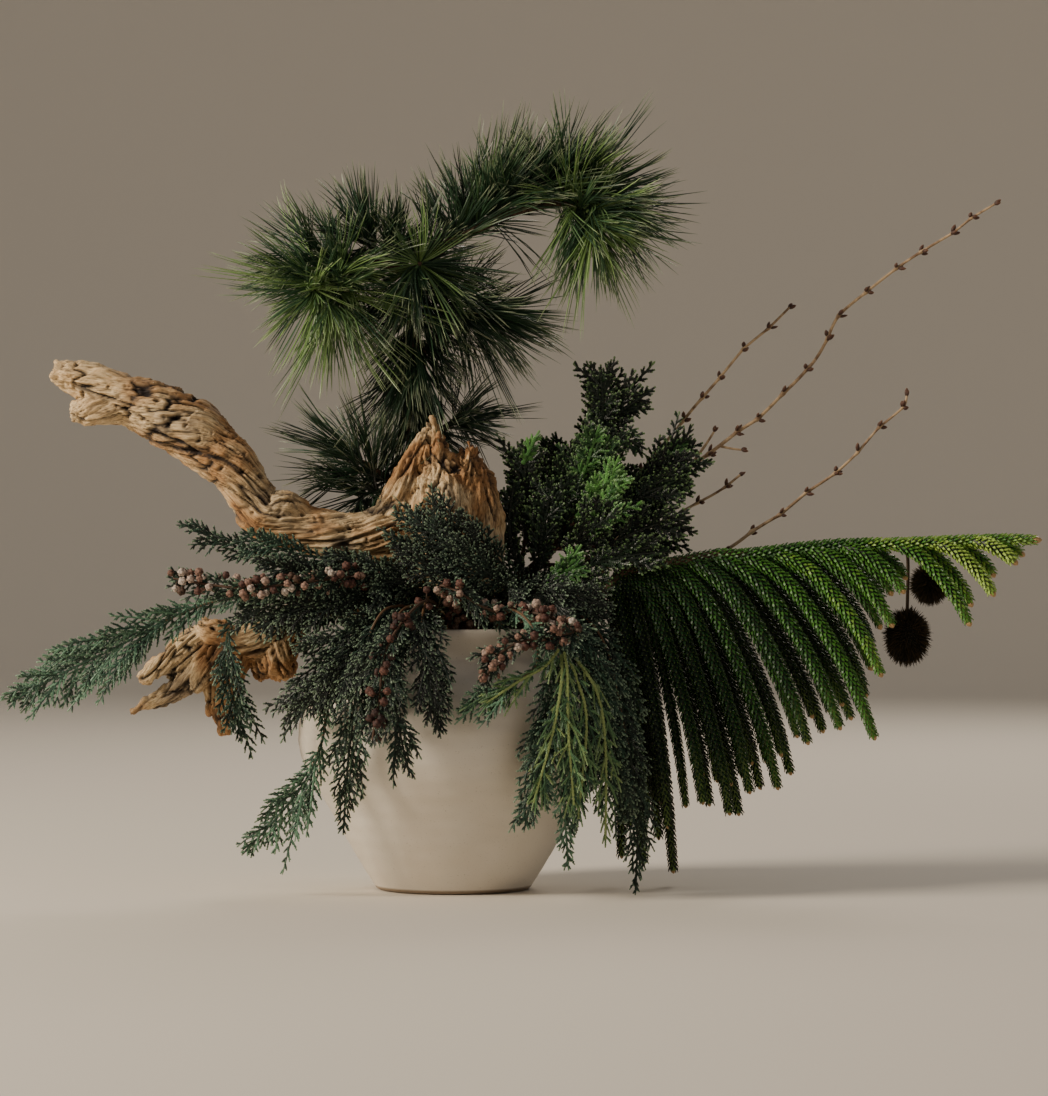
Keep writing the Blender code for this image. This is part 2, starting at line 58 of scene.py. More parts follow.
def addNode(tree, kind, settings=None, inputs=None, ramp=None):
    node = tree.nodes.new(kind)
    for key, value in (settings or {}).items():
        setattr(node, key, value)
    for key, value in (inputs or {}).items():
        if isinstance(value, bpy.types.NodeSocket):
            tree.links.new(value, node.inputs[key])
        else:
            node.inputs[key].default_value = value
    if ramp:
        while len(node.color_ramp.elements) < len(ramp):
            node.color_ramp.elements.new(1.0)
        for element, (place, code) in zip(node.color_ramp.elements, ramp):
            element.position = place
            element.color = hexColour(code)
    return node


def newMaterial(name, roughness, ior=1.45, metallic=0.0):
    material = bpy.data.materials.new(name)
    material.use_nodes = True
    tree = material.node_tree
    shader = tree.nodes["Principled BSDF"]
    shader.inputs["Roughness"].default_value = roughness
    shader.inputs["IOR"].default_value = ior
    shader.inputs["Metallic"].default_value = metallic
    return material, tree, shader


def noiseTexture(tree, place, scale, detail, roughness=0.5):
    return addNode(tree, "ShaderNodeTexNoise", inputs={
        "Vector": place, "Scale": scale, "Detail": detail, "Roughness": roughness}).outputs["Fac"]


def colourRamp(tree, value, stops):
    return addNode(tree, "ShaderNodeValToRGB", inputs={"Fac": value}, ramp=stops).outputs["Color"]


def remap(tree, value, fromMin=0.0, fromMax=1.0, toMin=0.0, toMax=1.0):
    return addNode(tree, "ShaderNodeMapRange", inputs={
        "Value": value, "From Min": fromMin, "From Max": fromMax, "To Min": toMin, "To Max": toMax,
    }).outputs["Result"]


def mixColours(tree, amount, first, second, blend="MIX"):
    return addNode(tree, "ShaderNodeMix", {"data_type": "RGBA", "blend_type": blend}, {
        "Factor": amount, 6: first, 7: second}).outputs[2]


def lessThan(tree, value, limit):
    return addNode(tree, "ShaderNodeMath", {"operation": "LESS_THAN"}, {0: value, 1: limit}).outputs["Value"]


def bumpNormal(tree, height, strength, distance):
    return addNode(tree, "ShaderNodeBump", inputs={
        "Strength": strength, "Distance": distance * mm, "Height": height}).outputs["Normal"]


def objectPlace(tree):
    return addNode(tree, "ShaderNodeTexCoord").outputs["Object"]


def leafPlace(tree):  # u holds a leaf's tone, v the share of its length
    layer = addNode(tree, "ShaderNodeUVMap", {"uv_map": "OFBake"})
    place = addNode(tree, "ShaderNodeSeparateXYZ", inputs={"Vector": layer.outputs["UV"]})
    return place.outputs["X"], place.outputs["Y"]


def toneStops(tones, wood):  # tones spread over the leaf range of u, then wood
    return [(0.86 * i / (len(tones) - 1), tone) for i, tone in enumerate(tones)] + [(0.9, wood)]


def connect(tree, shader, outputs):
    for name, output in outputs.items():
        tree.links.new(output, shader.inputs[name])


def addObject(name, data):
    added = bpy.data.objects.new(name, data)
    bpy.context.scene.collection.objects.link(added)
    return added


# Geometry helpers


def unit(v):
    return v / np.maximum(np.linalg.norm(v, axis=-1, keepdims=True), 1e-9)


def curveThrough(points, spacing):  # even points on a smooth curve, sizes included
    points = np.array(points, float)
    padded = np.vstack([2 * points[0] - points[1], points, 2 * points[-1] - points[-2]])
    t = np.linspace(0, 1, 24, endpoint=False)[:, None]
    spans = []
    for b, a, c, d in zip(padded[:-3], padded[1:-2], padded[2:-1], padded[3:]):
        spans.append(a + 0.5 * t * (c - b + t * (2 * b - 5 * a + 4 * c - d + t * (3 * (a - c) + d - b))))
    dense = np.vstack(spans + [points[-1:]])
    lengths = np.r_[0, np.cumsum(np.linalg.norm(np.diff(dense[:, :3], axis=0), axis=1))]
    places = np.linspace(0, lengths[-1], max(int(lengths[-1] / spacing), 3) + 1)
    return np.column_stack([np.interp(places, lengths, column) for column in dense.T])


def framesAlong(path, facing=front):  # tangent, and a facing direction carried along without twist
    tangent = unit(np.gradient(path, axis=0))
    carried = np.empty_like(path)
    current = np.array(facing, float)
    for i, t in enumerate(tangent):
        current = current - t * (current @ t)
        if np.linalg.norm(current) < 0.05:
            current = np.cross(t, [0.3, 0.5, 0.8])
        current = unit(current)
        carried[i] = current
    return tangent, carried


def sweep(paths, facing, widths, heights, sides, tone, along):  # many capped rods at once
    n, k, _ = paths.shape
    tangent = unit(np.gradient(paths, axis=1))
    across = unit(np.cross(facing, tangent))
    facing = np.cross(tangent, across)
    angle = 2 * np.pi * np.arange(sides) / sides
    ring = across[:, :, None] * (widths[:, :, None] * np.cos(angle))[..., None]
    ring = ring + facing[:, :, None] * (heights[:, :, None] * np.sin(angle))[..., None]
    verts = (paths[:, :, None] + ring).reshape(-1, 3)
    index = np.arange(n * k * sides).reshape(n, k, sides)
    after = np.roll(index, -1, axis=2)
    quads = np.stack([index[:, :-1], after[:, :-1], after[:, 1:], index[:, 1:]], axis=-1).reshape(-1, 4)
    caps = np.concatenate([index[:, 0, ::-1], index[:, -1]])
    u = np.broadcast_to(tone[:, None, None], (n, k, sides)) + 0.004 * np.cos(angle)
    v = np.broadcast_to(along[:, :, None], (n, k, sides)) * 0.98 + 0.01 + 0.004 * np.sin(angle)
    return {"verts": verts, "faces": [quads, caps], "uv": np.stack([u, v], axis=-1).reshape(-1, 2)}


def rod(path, radii, sides=8, tone=0.95):  # one rod along a path
    _, carried = framesAlong(path)
    along = np.linspace(0, 1, len(path))[None]
    radii = np.broadcast_to(radii, (len(path),))[None]
    return sweep(path[None], carried[None], radii, radii, sides, np.array([tone]), along)


def makePiece(name, chunks, material, stands=(), smooth=True):
    starts = np.cumsum([0] + [len(chunk["verts"]) for chunk in chunks])
    verts = np.concatenate([chunk["verts"] for chunk in chunks]) * mm
    uv = np.concatenate([chunk["uv"] for chunk in chunks])
    groups = [faces + start for chunk, start in zip(chunks, starts) for faces in chunk["faces"]]
    corners = np.concatenate([faces.ravel() for faces in groups]).astype(np.int32)
    counts = np.concatenate([np.full(len(faces), faces.shape[1]) for faces in groups])
    mesh = bpy.data.meshes.new(name)
    mesh.vertices.add(len(verts))
    mesh.vertices.foreach_set("co", verts.ravel().astype(np.float32))
    mesh.loops.add(len(corners))
    mesh.polygons.add(len(counts))
    mesh.polygons.foreach_set("loop_start", np.r_[0, np.cumsum(counts)[:-1]].astype(np.int32))
    mesh.polygons.foreach_set("vertices", corners)
    layer = mesh.uv_layers.new(name="OFBake")
    layer.data.foreach_set("uv", uv[corners].ravel().astype(np.float32))
    mesh.update(calc_edges=True)
    mesh.validate()
    mesh.polygons.foreach_set("use_smooth", np.full(len(mesh.polygons), smooth))
    return placePiece(name, mesh, material, stands)


def placePiece(name, mesh, material, stands):
    piece = addObject(name, mesh)
    mesh.materials.clear()
    mesh.materials.append(material)
    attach(piece, "root")
    if stands:
        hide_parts(*stands)
    return piece


# Every stem rises straight from the pins to its own place in the mouth

stemStart = {"footZ": 34.0, "mouthZ": 200.0, "footSpread": 0.5}


def entry(x, y):
    spread = stemStart["footSpread"]
    middle = (1 + spread) / 2
    middleZ = (stemStart["footZ"] + stemStart["mouthZ"]) / 2
    return [(x * spread, y * spread, stemStart["footZ"]), (x * middle, y * middle, middleZ),
            (x, y, stemStart["mouthZ"])]


def stemRoute(x, y, radius, beyond):
    return [(*p, radius) for p in entry(x, y)] + beyond


# Vase

vaseLook = {"steps": 256, "glaze": "#dcd5c8", "glazeWarm": "#d0c6b5", "clay": "#8f7d68", "ringHeight": 0.12}
vaseOuter = [
    (80, 195.5), (82.4, 194.4), (84, 190), (83.6, 184), (83.2, 178), (84.5, 172.5), (88.2, 168.4),
    (96.5, 160.4),
    (107, 147), (114, 130), (116, 113), (113, 97), (105, 80), (92, 59), (79, 36), (66, 14), (59.6, 4),
    (57.6, 1),
    (55, 0),
]
vaseInner = [
    (0, 9), (30, 9), (48, 9.2), (56, 13), (63, 22), (73, 38), (85.5, 59), (98.5, 80), (106.5, 97),
    (109.5, 113),
    (107.5, 130), (100.5, 147), (89.5, 160), (81, 169), (77.5, 176), (76.6, 184), (76.4, 189), (77.6, 193.8),
]


def stonewareMaterial():  # thrown stoneware under a dry magnesia glaze: soft sheen, faint clouds and specks
    material, tree, shader = newMaterial("stonewareMatteGlaze", 0.5, 1.5)
    place = objectPlace(tree)
    cloud = noiseTexture(tree, place, 14.0, 4.0)
    tint = colourRamp(tree, cloud, [(0.3, vaseLook["glazeWarm"]), (0.7, vaseLook["glaze"])])
    specks = colourRamp(tree, noiseTexture(tree, place, 900.0, 2.0), [(0.27, "#8a7a66"), (0.34, "#ffffff")])
    body = mixColours(tree, 0.35, tint, specks, "MULTIPLY")
    height = addNode(tree, "ShaderNodeSeparateXYZ", inputs={"Vector": place}).outputs["Z"]
    glazed = remap(tree, height, 2.2 * mm, 3.6 * mm)  # the foot is left bare
    connect(tree, shader, {
        "Base Color": mixColours(tree, glazed, hexColour(vaseLook["clay"]), body),
        "Normal": bumpNormal(tree, noiseTexture(tree, place, 260.0, 5.0), 0.12, 0.4),
        "Roughness": remap(tree, cloud, toMin=0.42, toMax=0.6)})
    return material


def makeVase():
    outer = curveThrough(vaseOuter, 2.0)
    inner = curveThrough(vaseInner, 3.0)
    profile = np.vstack([inner, outer, curveThrough([(55, 0), (30, 0), (0, 0)], 10.0)[1:]])
    rings = vaseLook["ringHeight"] * np.sin(outer[:, 1] / 1.9) * np.clip(outer[:, 1] / 30, 0, 1)
    profile[len(inner):len(inner) + len(outer), 0] += rings  # throwing rings left by the fingers
    steps = vaseLook["steps"]
    turn = 2 * np.pi * np.arange(steps) / steps
    sway = 1 + 0.0018 * np.cos(2 * turn + 0.6) + 0.001 * np.cos(3 * turn)  # a thrown pot is never quite round
    body = profile[1:-1]
    x = body[:, 0, None] * np.cos(turn) * sway
    y = body[:, 0, None] * np.sin(turn) * sway
    z = np.broadcast_to(body[:, 1, None], x.shape)
    verts = np.vstack([np.stack([x, y, z], axis=-1).reshape(-1, 3), [[0, 0, 9], [0, 0, 0]]])
    index = np.arange(len(body) * steps).reshape(len(body), steps)
    after = np.roll(index, -1, axis=1)
    quads = np.stack([index[:-1], index[1:], after[1:], after[:-1]], axis=-1).reshape(-1, 4)
    floorTop = len(body) * steps
    top = np.stack([np.full(steps, floorTop), index[0], after[0]], axis=-1)
    under = np.stack([np.full(steps, floorTop + 1), after[-1], index[-1]], axis=-1)
    share = np.linspace(0, 1, len(body))
    uv = np.stack(np.broadcast_arrays(turn[None] / (2 * np.pi), share[:, None]), axis=-1).reshape(-1, 2)
    chunk = {"verts": verts, "faces": [quads, top, under], "uv": np.vstack([uv, [[0, 0], [0, 1]]])}
    piece = makePiece("vaseGlazed", [chunk], stonewareMaterial(), ["vase"])
    piece.data.uv_layers.remove(piece.data.uv_layers["OFBake"])
    bm = bmesh.new()
    bm.from_mesh(piece.data)
    bmesh.ops.recalc_face_normals(bm, faces=bm.faces)
    bm.to_mesh(piece.data)
    bm.free()


def kenzanMaterial():  # lead base and brass pins, dulled by water
    material, tree, shader = newMaterial("agedBrassAndLead", 0.45, 1.45, 1.0)
    stain = noiseTexture(tree, objectPlace(tree), 90.0, 5.0)
    connect(tree, shader, {
        "Base Color": colourRamp(tree, stain, [(0.35, "#5b5347"), (0.7, "#9a8352")]),
        "Roughness": remap(tree, stain, toMin=0.35, toMax=0.7)})
    return material


# Pine

pineLook = {
    "needleRadius": 0.52, "sag": 0.14, "clump": 7, "dark": "#131f19", "mid": "#36543a", "bright": "#7d9b58",
    "tip": "#adb793",
    # The tone ranges paint light and shade: higher on the left tuft and the tip, where the light from the upper
    # left falls, lower on the hanging, back and low shoots
    "shoots": [  # route, clumps, angles off the shoot at foot and tip, length, tone range
        {"node": "pine_tuft_left", "route": [(-78, 18, 464), (-94, 6, 457), (-108, -9, 446)], "count": 84,
         "spread": (105, 40), "length": 66, "tone": (0.3, 1.0)},
        {"node": "pine_tuft_left", "route": [(-84, 10, 462), (-90, 0, 448), (-88, -8, 432)], "count": 50,
         "spread": (95, 30), "length": 64, "tone": (0.4, 1.0), "sag": 0.3},
        {"node": "pine_tuft_left", "route": [(-66, 17, 468), (-92, 16, 474), (-110, 14, 478)], "count": 42,
         "spread": (90, 36), "length": 60, "tone": (0.1, 0.6)},
        {"node": "pine_tuft_centre", "route": [(-31, 26, 460), (-29, 12, 467), (-24, -6, 468)], "count": 70,
         "spread": (118, 55), "length": 60, "tone": (0.1, 0.8), "sag": 0.3},
        {"node": "pine_tuft_centre", "route": [(-24, 20, 474), (-30, 22, 430), (-34, 24, 386)], "count": 100,
         "spread": (75, 26), "length": 62, "tone": (0.0, 0.4), "sag": 0.35},
        {"node": "pine_tuft_centre", "route": [(-24, 26, 420), (-27, 28, 380), (-28, 29, 345)], "count": 60,
         "spread": (60, 30), "length": 46, "tone": (0.0, 0.3), "sag": 0.3},
        {"node": "pine_tuft_centre", "route": [(-36, 22, 468), (-54, 18, 478), (-68, 16, 484)], "count": 60,
         "spread": (80, 50), "length": 58, "tone": (0.0, 0.5), "lift": 0.8},
        {"node": "pine_tuft_back", "route": [(-20, 32, 440), (2, 40, 438), (30, 44, 432)], "count": 84,
         "spread": (80, 16), "length": 62, "tone": (0.05, 0.55)},
        {"node": "pine_tuft_arch", "route": [(-18, 20, 476), (12, 18, 498), (44, 16, 514), (78, 15, 521)],
         "count": 170, "spread": (66, 44), "length": 66, "tone": (0.05, 0.6), "lift": 1.0},
        {"node": "pine_tuft_arch", "route": [(10, 18, 492), (24, 16, 508), (34, 14, 520)], "count": 30,
         "spread": (60, 14), "length": 64, "tone": (0.1, 0.7), "lift": 0.4},
        {"node": "pine_tuft_tip", "route": [(72, 17, 518), (92, 12, 522), (112, 6, 518)], "count": 84,
         "spread": (85, 20), "length": 68, "tone": (0.15, 0.85)},
        {"node": "pine_tuft_tip", "route": [(86, 14, 518), (98, 2, 508), (106, -8, 494)], "count": 72,
         "spread": (95, 30), "length": 64, "tone": (0.25, 1.0), "sag": 0.2},
        {"node": "pine_tuft_tip", "route": [(80, 16, 520), (90, 18, 530), (98, 20, 538)], "count": 34,
         "spread": (70, 24), "length": 60, "tone": (0.3, 0.9)},
        {"node": "pine_tuft_low_left", "route": [(-44, 27, 300), (-62, 26, 316), (-78, 24, 326)], "count": 44,
         "spread": (100, 20), "length": 64, "tone": (0.0, 0.45)},
        {"node": "pine_tuft_low_left", "route": [(-42, 27, 296), (-58, 20, 296), (-70, 14, 292)], "count": 34,
         "spread": (100, 40), "length": 58, "tone": (0.0, 0.4)},
        {"node": "pine_tuft_low_right", "route": [(-14, 36, 340), (-3, 41, 350), (6, 44, 354)], "count": 32,
         "spread": (85, 25), "length": 46, "tone": (0.0, 0.4)},
    ],
}


def foliageMaterial(name, tones, tip, tipStart, roughness, stem="#5d4630"):
    # Waxy cuticle over green tissue: each leaf's tone is read from u, which also holds the painted light and
    # shade set per spray and shoot, and its paler tip from v
    material, tree, shader = newMaterial(name, roughness, 1.42)
    u, v = leafPlace(tree)
    amount = addNode(tree, "ShaderNodeMath", {"operation": "MULTIPLY"}, {
        0: remap(tree, v, tipStart, toMax=0.7), 1: lessThan(tree, u, woodFrom)}).outputs["Value"]
    leaf = colourRamp(tree, u, toneStops(tones, stem))
    connect(tree, shader, {"Base Color": mixColours(tree, amount, leaf, hexColour(tip))})
    return material


def randomUnits(count):
    return unit(rng.normal(size=(count, 3)))


def needles(shoot):
    path = curveThrough(shoot["route"], 1.0)
    tangent, _ = framesAlong(path)
    share = np.sort(rng.random(shoot["count"])) ** 0.8
    at = (share * (len(path) - 1)).astype(int)
    axis = tangent[at]
    radial = randomUnits(len(at)) + shoot.get("lift", 0.0) * -down
    radial = unit(radial - axis * np.sum(radial * axis, axis=1, keepdims=True))
    wide, narrow = shoot["spread"]
    angle = np.radians(wide + (narrow - wide) * share + rng.normal(0, 18, len(at)))[:, None]
    aim = unit(axis * np.cos(angle) + radial * np.sin(angle))
    clump = pineLook["clump"]
    reach = shoot["length"] * rng.uniform(0.62, 1.16, len(at))
    aim = unit(np.repeat(aim, clump, axis=0) + 0.15 * randomUnits(len(at) * clump))
    base = np.repeat(path[at] + radial * 1.4, clump, axis=0) + 0.8 * randomUnits(len(aim))
    count = len(aim)
    length = (np.repeat(reach, clump) * rng.uniform(0.86, 1.06, count))
    curl = np.repeat(0.13 * rng.normal(size=(len(at), 3)), clump, axis=0)
    bend = 0.5 * shoot.get("sag", pineLook["sag"]) * down + curl + 0.03 * rng.normal(size=(count, 3))
    u = np.array([0.0, 0.3, 0.65, 0.9, 1.0])
    bent = u[:, None] * aim[:, None] + (u ** 2)[:, None] * bend[:, None]
    paths = base[:, None] + length[:, None, None] * bent
    radius = pineLook["needleRadius"] * rng.uniform(0.85, 1.15, count)
    widths = radius[:, None] * np.array([0.75, 1.0, 1.0, 0.7, 0.12])
    facing = np.broadcast_to(unit(np.cross(aim, randomUnits(count)))[:, None], paths.shape)
    low, high = shoot["tone"]
    tone = np.repeat(rng.uniform(low, high, len(at)), clump) + rng.uniform(-0.12, 0.12, count)
    return sweep(paths, facing, widths, widths * 0.8, 3, leafTone * np.clip(tone, 0, 1),
                 np.broadcast_to(u, widths.shape))


def makePine():
    material = foliageMaterial("pineNeedleWaxy", [pineLook["dark"], pineLook["mid"], pineLook["bright"]],
                               pineLook["tip"], 0.8, 0.42)
    for node in dict.fromkeys(shoot["node"] for shoot in pineLook["shoots"]):
        chunks = [needles(shoot) for shoot in pineLook["shoots"] if shoot["node"] == node]
        name = "needles" + "".join(word.capitalize() for word in node.split("_")[2:])
        makePiece(name, chunks, material, [node], smooth=False)


# Woody stems of the pine, the hinoki and the frond

barkLook = {"pale": "#6f5a47", "dark": "#2b211a", "flake": 4.0, "depth": 0.9}
pineWood = [
    stemRoute(-29, 30, 6, [(-30, 30, 262, 6), (-30, 29, 330, 6), (-31, 26, 400, 5.5), (-28, 21, 468, 4.6)]),
    [(-29, 23, 458, 4.2), (-58, 17, 470, 3.6), (-84, 15, 462, 3.2), (-98, 2, 452, 2.6), (-104, -9, 448, 1.6)],
    [(-29, 22, 460, 4.4), (-8, 20, 482, 4), (14, 18, 494, 3.8), (46, 16, 508, 3.5), (78, 15, 515, 3),
     (98, 9, 513, 2.4), (113, -5, 509, 1.4)],
    [(-28, 24, 462, 3.6), (-27, 10, 467, 3), (-25, -7, 468, 1.6)],
    [(-31, 27, 396, 3.5), (-8, 37, 418, 3), (18, 43, 434, 2.5), (33, 44, 437, 1.4)],
    [(-30, 30, 284, 3.5), (-46, 27, 303, 3), (-66, 25, 318, 2.4), (-73, 24, 321, 1.3)],
    [(-30, 29, 324, 3.5), (-12, 36, 342, 3), (-2, 41, 350, 2.4), (7, 44, 355, 1.3)],
]
hinokiWood = [
    stemRoute(30, 24, 4, [(48, 28, 228, 4), (72, 30, 252, 3.8), (90, 32, 280, 3.2), (102, 34, 306, 2.4),
                          (106, 35, 326, 1.6)]),
    [(76, 30, 257, 2.2), (84, 19, 265, 1.8), (93, 8, 276, 1.4)],
    [(47, 28, 226, 2.2), (51, 22, 244, 1.8), (54, 16, 264, 1.3)],
    [(42, 26, 220, 2.2), (47, 14, 228, 1.8), (52, 2, 238, 1.3)],
    [(90, 32, 280, 2.2), (107, 32, 277, 1.8), (126, 32, 278, 1.4)],
    [(62, 29, 242, 2.2), (83, 25, 242, 1.8), (106, 20, 245, 1.4)],
    [(70, 30, 250, 2.2), (76, 38, 262, 1.8), (82, 46, 274, 1.4)],
    [(44, 27, 223, 2.2), (57, 6, 224, 1.8), (69, -15, 226, 1.3)],
    [(74, 30, 255, 2.2), (98, 51, 255, 1.8), (123, 72, 257, 1.4)],
]
frondWood = [
    stemRoute(50, 8, 5.5, [(62, 8, 211, 5.2), (84, 7, 217, 5), (103, 5.6, 220.5, 4.7), (113, 5, 224.2, 4.6),
                           (121, 3.4, 230, 4.4), (130, 2, 237, 4.2), (164, 0, 244, 3.6), (197, -3, 250, 3.2),
                           (221, -6, 250, 2.6)]),
]


def barkMaterial(name, pale, dark, flake):  # rough outer bark, flaking in plates
    material, tree, shader = newMaterial(name, 0.85, 1.4)
    place = objectPlace(tree)
    squash = addNode(tree, "ShaderNodeMapping", inputs={"Vector": place, "Scale": (1.0, 1.0, 0.45)})
    flakes = addNode(tree, "ShaderNodeTexVoronoi", {"feature": "DISTANCE_TO_EDGE"}, {
        "Vector": squash.outputs["Vector"], "Scale": 1000.0 / flake})
    tint = colourRamp(tree, noiseTexture(tree, place, 300.0 / flake, 6.0), [(0.3, dark), (0.7, pale)])
    cracks = remap(tree, flakes.outputs["Distance"], fromMax=0.12, toMin=0.35)
    connect(tree, shader, {
        "Base Color": mixColours(tree, 1.0, tint, cracks, "MULTIPLY"),
        "Normal": bumpNormal(tree, cracks, 0.8, 0.6)})
    return material


def barkRod(points, depth, spacing=1.2, sides=20):  # a stem with plates of bark
    data = curveThrough(points, spacing)
    chunk = rod(data[:, :3], data[:, 3], sides)
    verts = chunk["verts"]
    centres = np.repeat(data[:, :3], sides, axis=0)
    out = unit(verts - centres)
    rough = np.array([noise.noise(Vector((x * 0.35, y * 0.35, z * 0.16))) for x, y, z in verts])
    plates = np.array([noise.voronoi(Vector((x * 0.22, y * 0.22, z * 0.1)))[0][0] for x, y, z in verts])
    scale = np.repeat(np.clip(data[:, 3] / 6, 0.25, 1), sides)
    chunk["verts"] = verts + out * (depth * scale * (0.5 * rough + 0.6 * (0.5 - plates)))[:, None]
    return chunk


def makeStems():
    pineBark = barkMaterial("pineBarkFlaking", barkLook["pale"], barkLook["dark"], barkLook["flake"])
    redBark = barkMaterial("hinokiBarkStringy", "#6a4a38", "#30201a", 3.0)
    chunks = [barkRod(points, barkLook["depth"]) for points in pineWood]
    makePiece("pineWood", chunks, pineBark, ["pine_stem"])
    chunks = [barkRod(points, 0.4, 2.0, 12) for points in hinokiWood]
    makePiece("hinokiWood", chunks, redBark, ["hinoki_stem"])
    chunks = [barkRod(points, 0.5, 1.5, 16) for points in frondWood]
    makePiece("frondWood", chunks, barkMaterial("frondBarkScarred", "#5e4a3a", "#2a1f18", 3.0),
              ["norfolk_stem"])


# Flat sprays of scale leaves

scaleLook = {
    "cypress": {"spacing": 6.6, "angle": 33, "childSpacing": 3.1, "childLength": 14.0, "leafSpacing": 2.3,
                "leafLength": 2.7, "width": 1.05, "flat": 0.5, "lift": 0.1, "droop": 0.12},
    "young": {"spacing": 11.0, "angle": 27, "childSpacing": 6.0, "childLength": 10.0, "leafSpacing": 3.3,
              "leafLength": 3.6, "width": 1.05, "flat": 0.6, "lift": 0.16, "droop": 0.25},
    "hinoki": {"spacing": 6.0, "angle": 39, "childSpacing": 3.5, "childLength": 15.0, "leafSpacing": 2.7,
               "leafLength": 3.9, "width": 1.45, "flat": 0.42, "lift": 0.14, "droop": 0.05},
}
cypressSprays = {  # place in the mouth, stem beyond it, blade with half widths, tone range
    # The tone ranges paint light and shade: higher for sprays out in the light, lower for those inside the heap
    "cypress_far_left": ((-60, 16), [(-78, -6, 233), (-102, -40, 236), (-142, -66, 222)], [
        (-180, -70, 214, 9), (-209, -75, 202, 22), (-242, -78, 184, 22), (-283, -72, 164, 15),
        (-322, -62, 143, 3)],
        (0.35, 0.9)),
    "cypress_upper_left": ((-62, -16), [(-82, -38, 228)], [
        (-118, -54, 243, 6), (-150, -60, 253, 9), (-174, -64, 262, 7), (-196, -66, 272, 2)], (0.1, 0.6)),
    "cypress_inner_left": ((-52, -28), [(-66, -48, 234)], [
        (-86, -68, 246, 6), (-110, -76, 250, 13), (-131, -78, 256, 12), (-150, -78, 264, 3)], (0.2, 0.7)),
    "cypress_over_root": ((-44, -40), [(-72, -76, 205), (-118, -88, 206)], [
        (-158, -84, 200, 5), (-163, -84, 174, 13), (-157, -82, 145, 12), (-154, -78, 118, 3)], (0.3, 0.8)),
    "cypress_fan_left": ((-24, -42), [(-46, -78, 212)], [
        (-62, -94, 202, 7), (-80, -104, 181, 14), (-101, -99, 157, 12), (-121, -87, 139, 2)], (0.0, 0.5)),
    "cypress_fan_down": ((-24, -58), [(-44, -92, 212)], [
        (-58, -106, 194, 7), (-66, -116, 158, 13), (-73, -112, 110, 12), (-78, -92, 52, 3)], (0.1, 0.6)),
    "cypress_fan_mid": ((-10, -50), [(-32, -98, 212)], [
        (-44, -122, 190, 7), (-42, -131, 160, 12), (-37, -132, 128, 10), (-30, -128, 96, 3)], (0.0, 0.4)),
    "cypress_fan_right": ((-10, -34), [(-16, -72, 219)], [
        (-21, -100, 204, 6), (-20, -116, 178, 11), (-14, -124, 150, 9), (-8, -127, 124, 3)], (0.0, 0.35)),
    "cypress_low_left": ((-36, -50), [(-66, -74, 206), (-88, -86, 168)], [
        (-92, -98, 122, 5), (-102, -96, 92, 14), (-124, -84, 62, 12), (-150, -70, 34, 3)], (0.35, 0.95)),
    "cypress_centre": ((8, -40), [(6, -58, 216)], [
        (4, -66, 226, 8), (-6, -72, 244, 22), (-18, -74, 264, 14), (-29, -74, 282, 3)], (0.15, 0.6)),
    "cypress_middle": ((-26, -26), [(-38, -42, 213)], [
        (-54, -58, 221, 6), (-76, -66, 218, 11), (-98, -70, 209, 11), (-120, -72, 197, 3)], (0.0, 0.4)),
    "cypress_rim": ((22, -30), [(34, -48, 214)], [
        (48, -58, 221, 6), (68, -64, 225, 10), (90, -66, 222, 9), (110, -64, 214, 3)], (0.0, 0.3)),
    "cypress_small_right": ((20, -60), [(44, -92, 210), (60, -116, 196)], [
        (62, -124, 172, 4), (50, -124, 160, 11), (30, -126, 149, 9), (10, -125, 139, 2)], (0.4, 1.0)),
    "cypress_hang_front": ((36, -42), [(60, -76, 208), (78, -100, 186)], [
        (83, -108, 164, 4), (85, -110, 128, 6), (82, -104, 80, 8), (85, -88, 26, 3)], (0.5, 1.0)),
    "cypress_hang_left": ((34, -58), [(60, -86, 204)], [
        (78, -112, 176, 4), (75, -122, 140, 6), (64, -124, 100, 14), (54, -118, 56, 4)], (0.2, 0.75)),
    "cypress_hang_right": ((48, -30), [(78, -64, 208)], [
        (96, -82, 178, 4), (110, -90, 134, 10), (118, -88, 94, 10), (126, -82, 60, 3)], (0.1, 0.6)),
    "cypress_hang_long": ((58, -18), [(92, -48, 206)], [
        (114, -64, 180, 4), (130, -66, 110, 12), (136, -64, 50, 9), (135, -60, 6, 1)], (0.0, 0.5)),
}
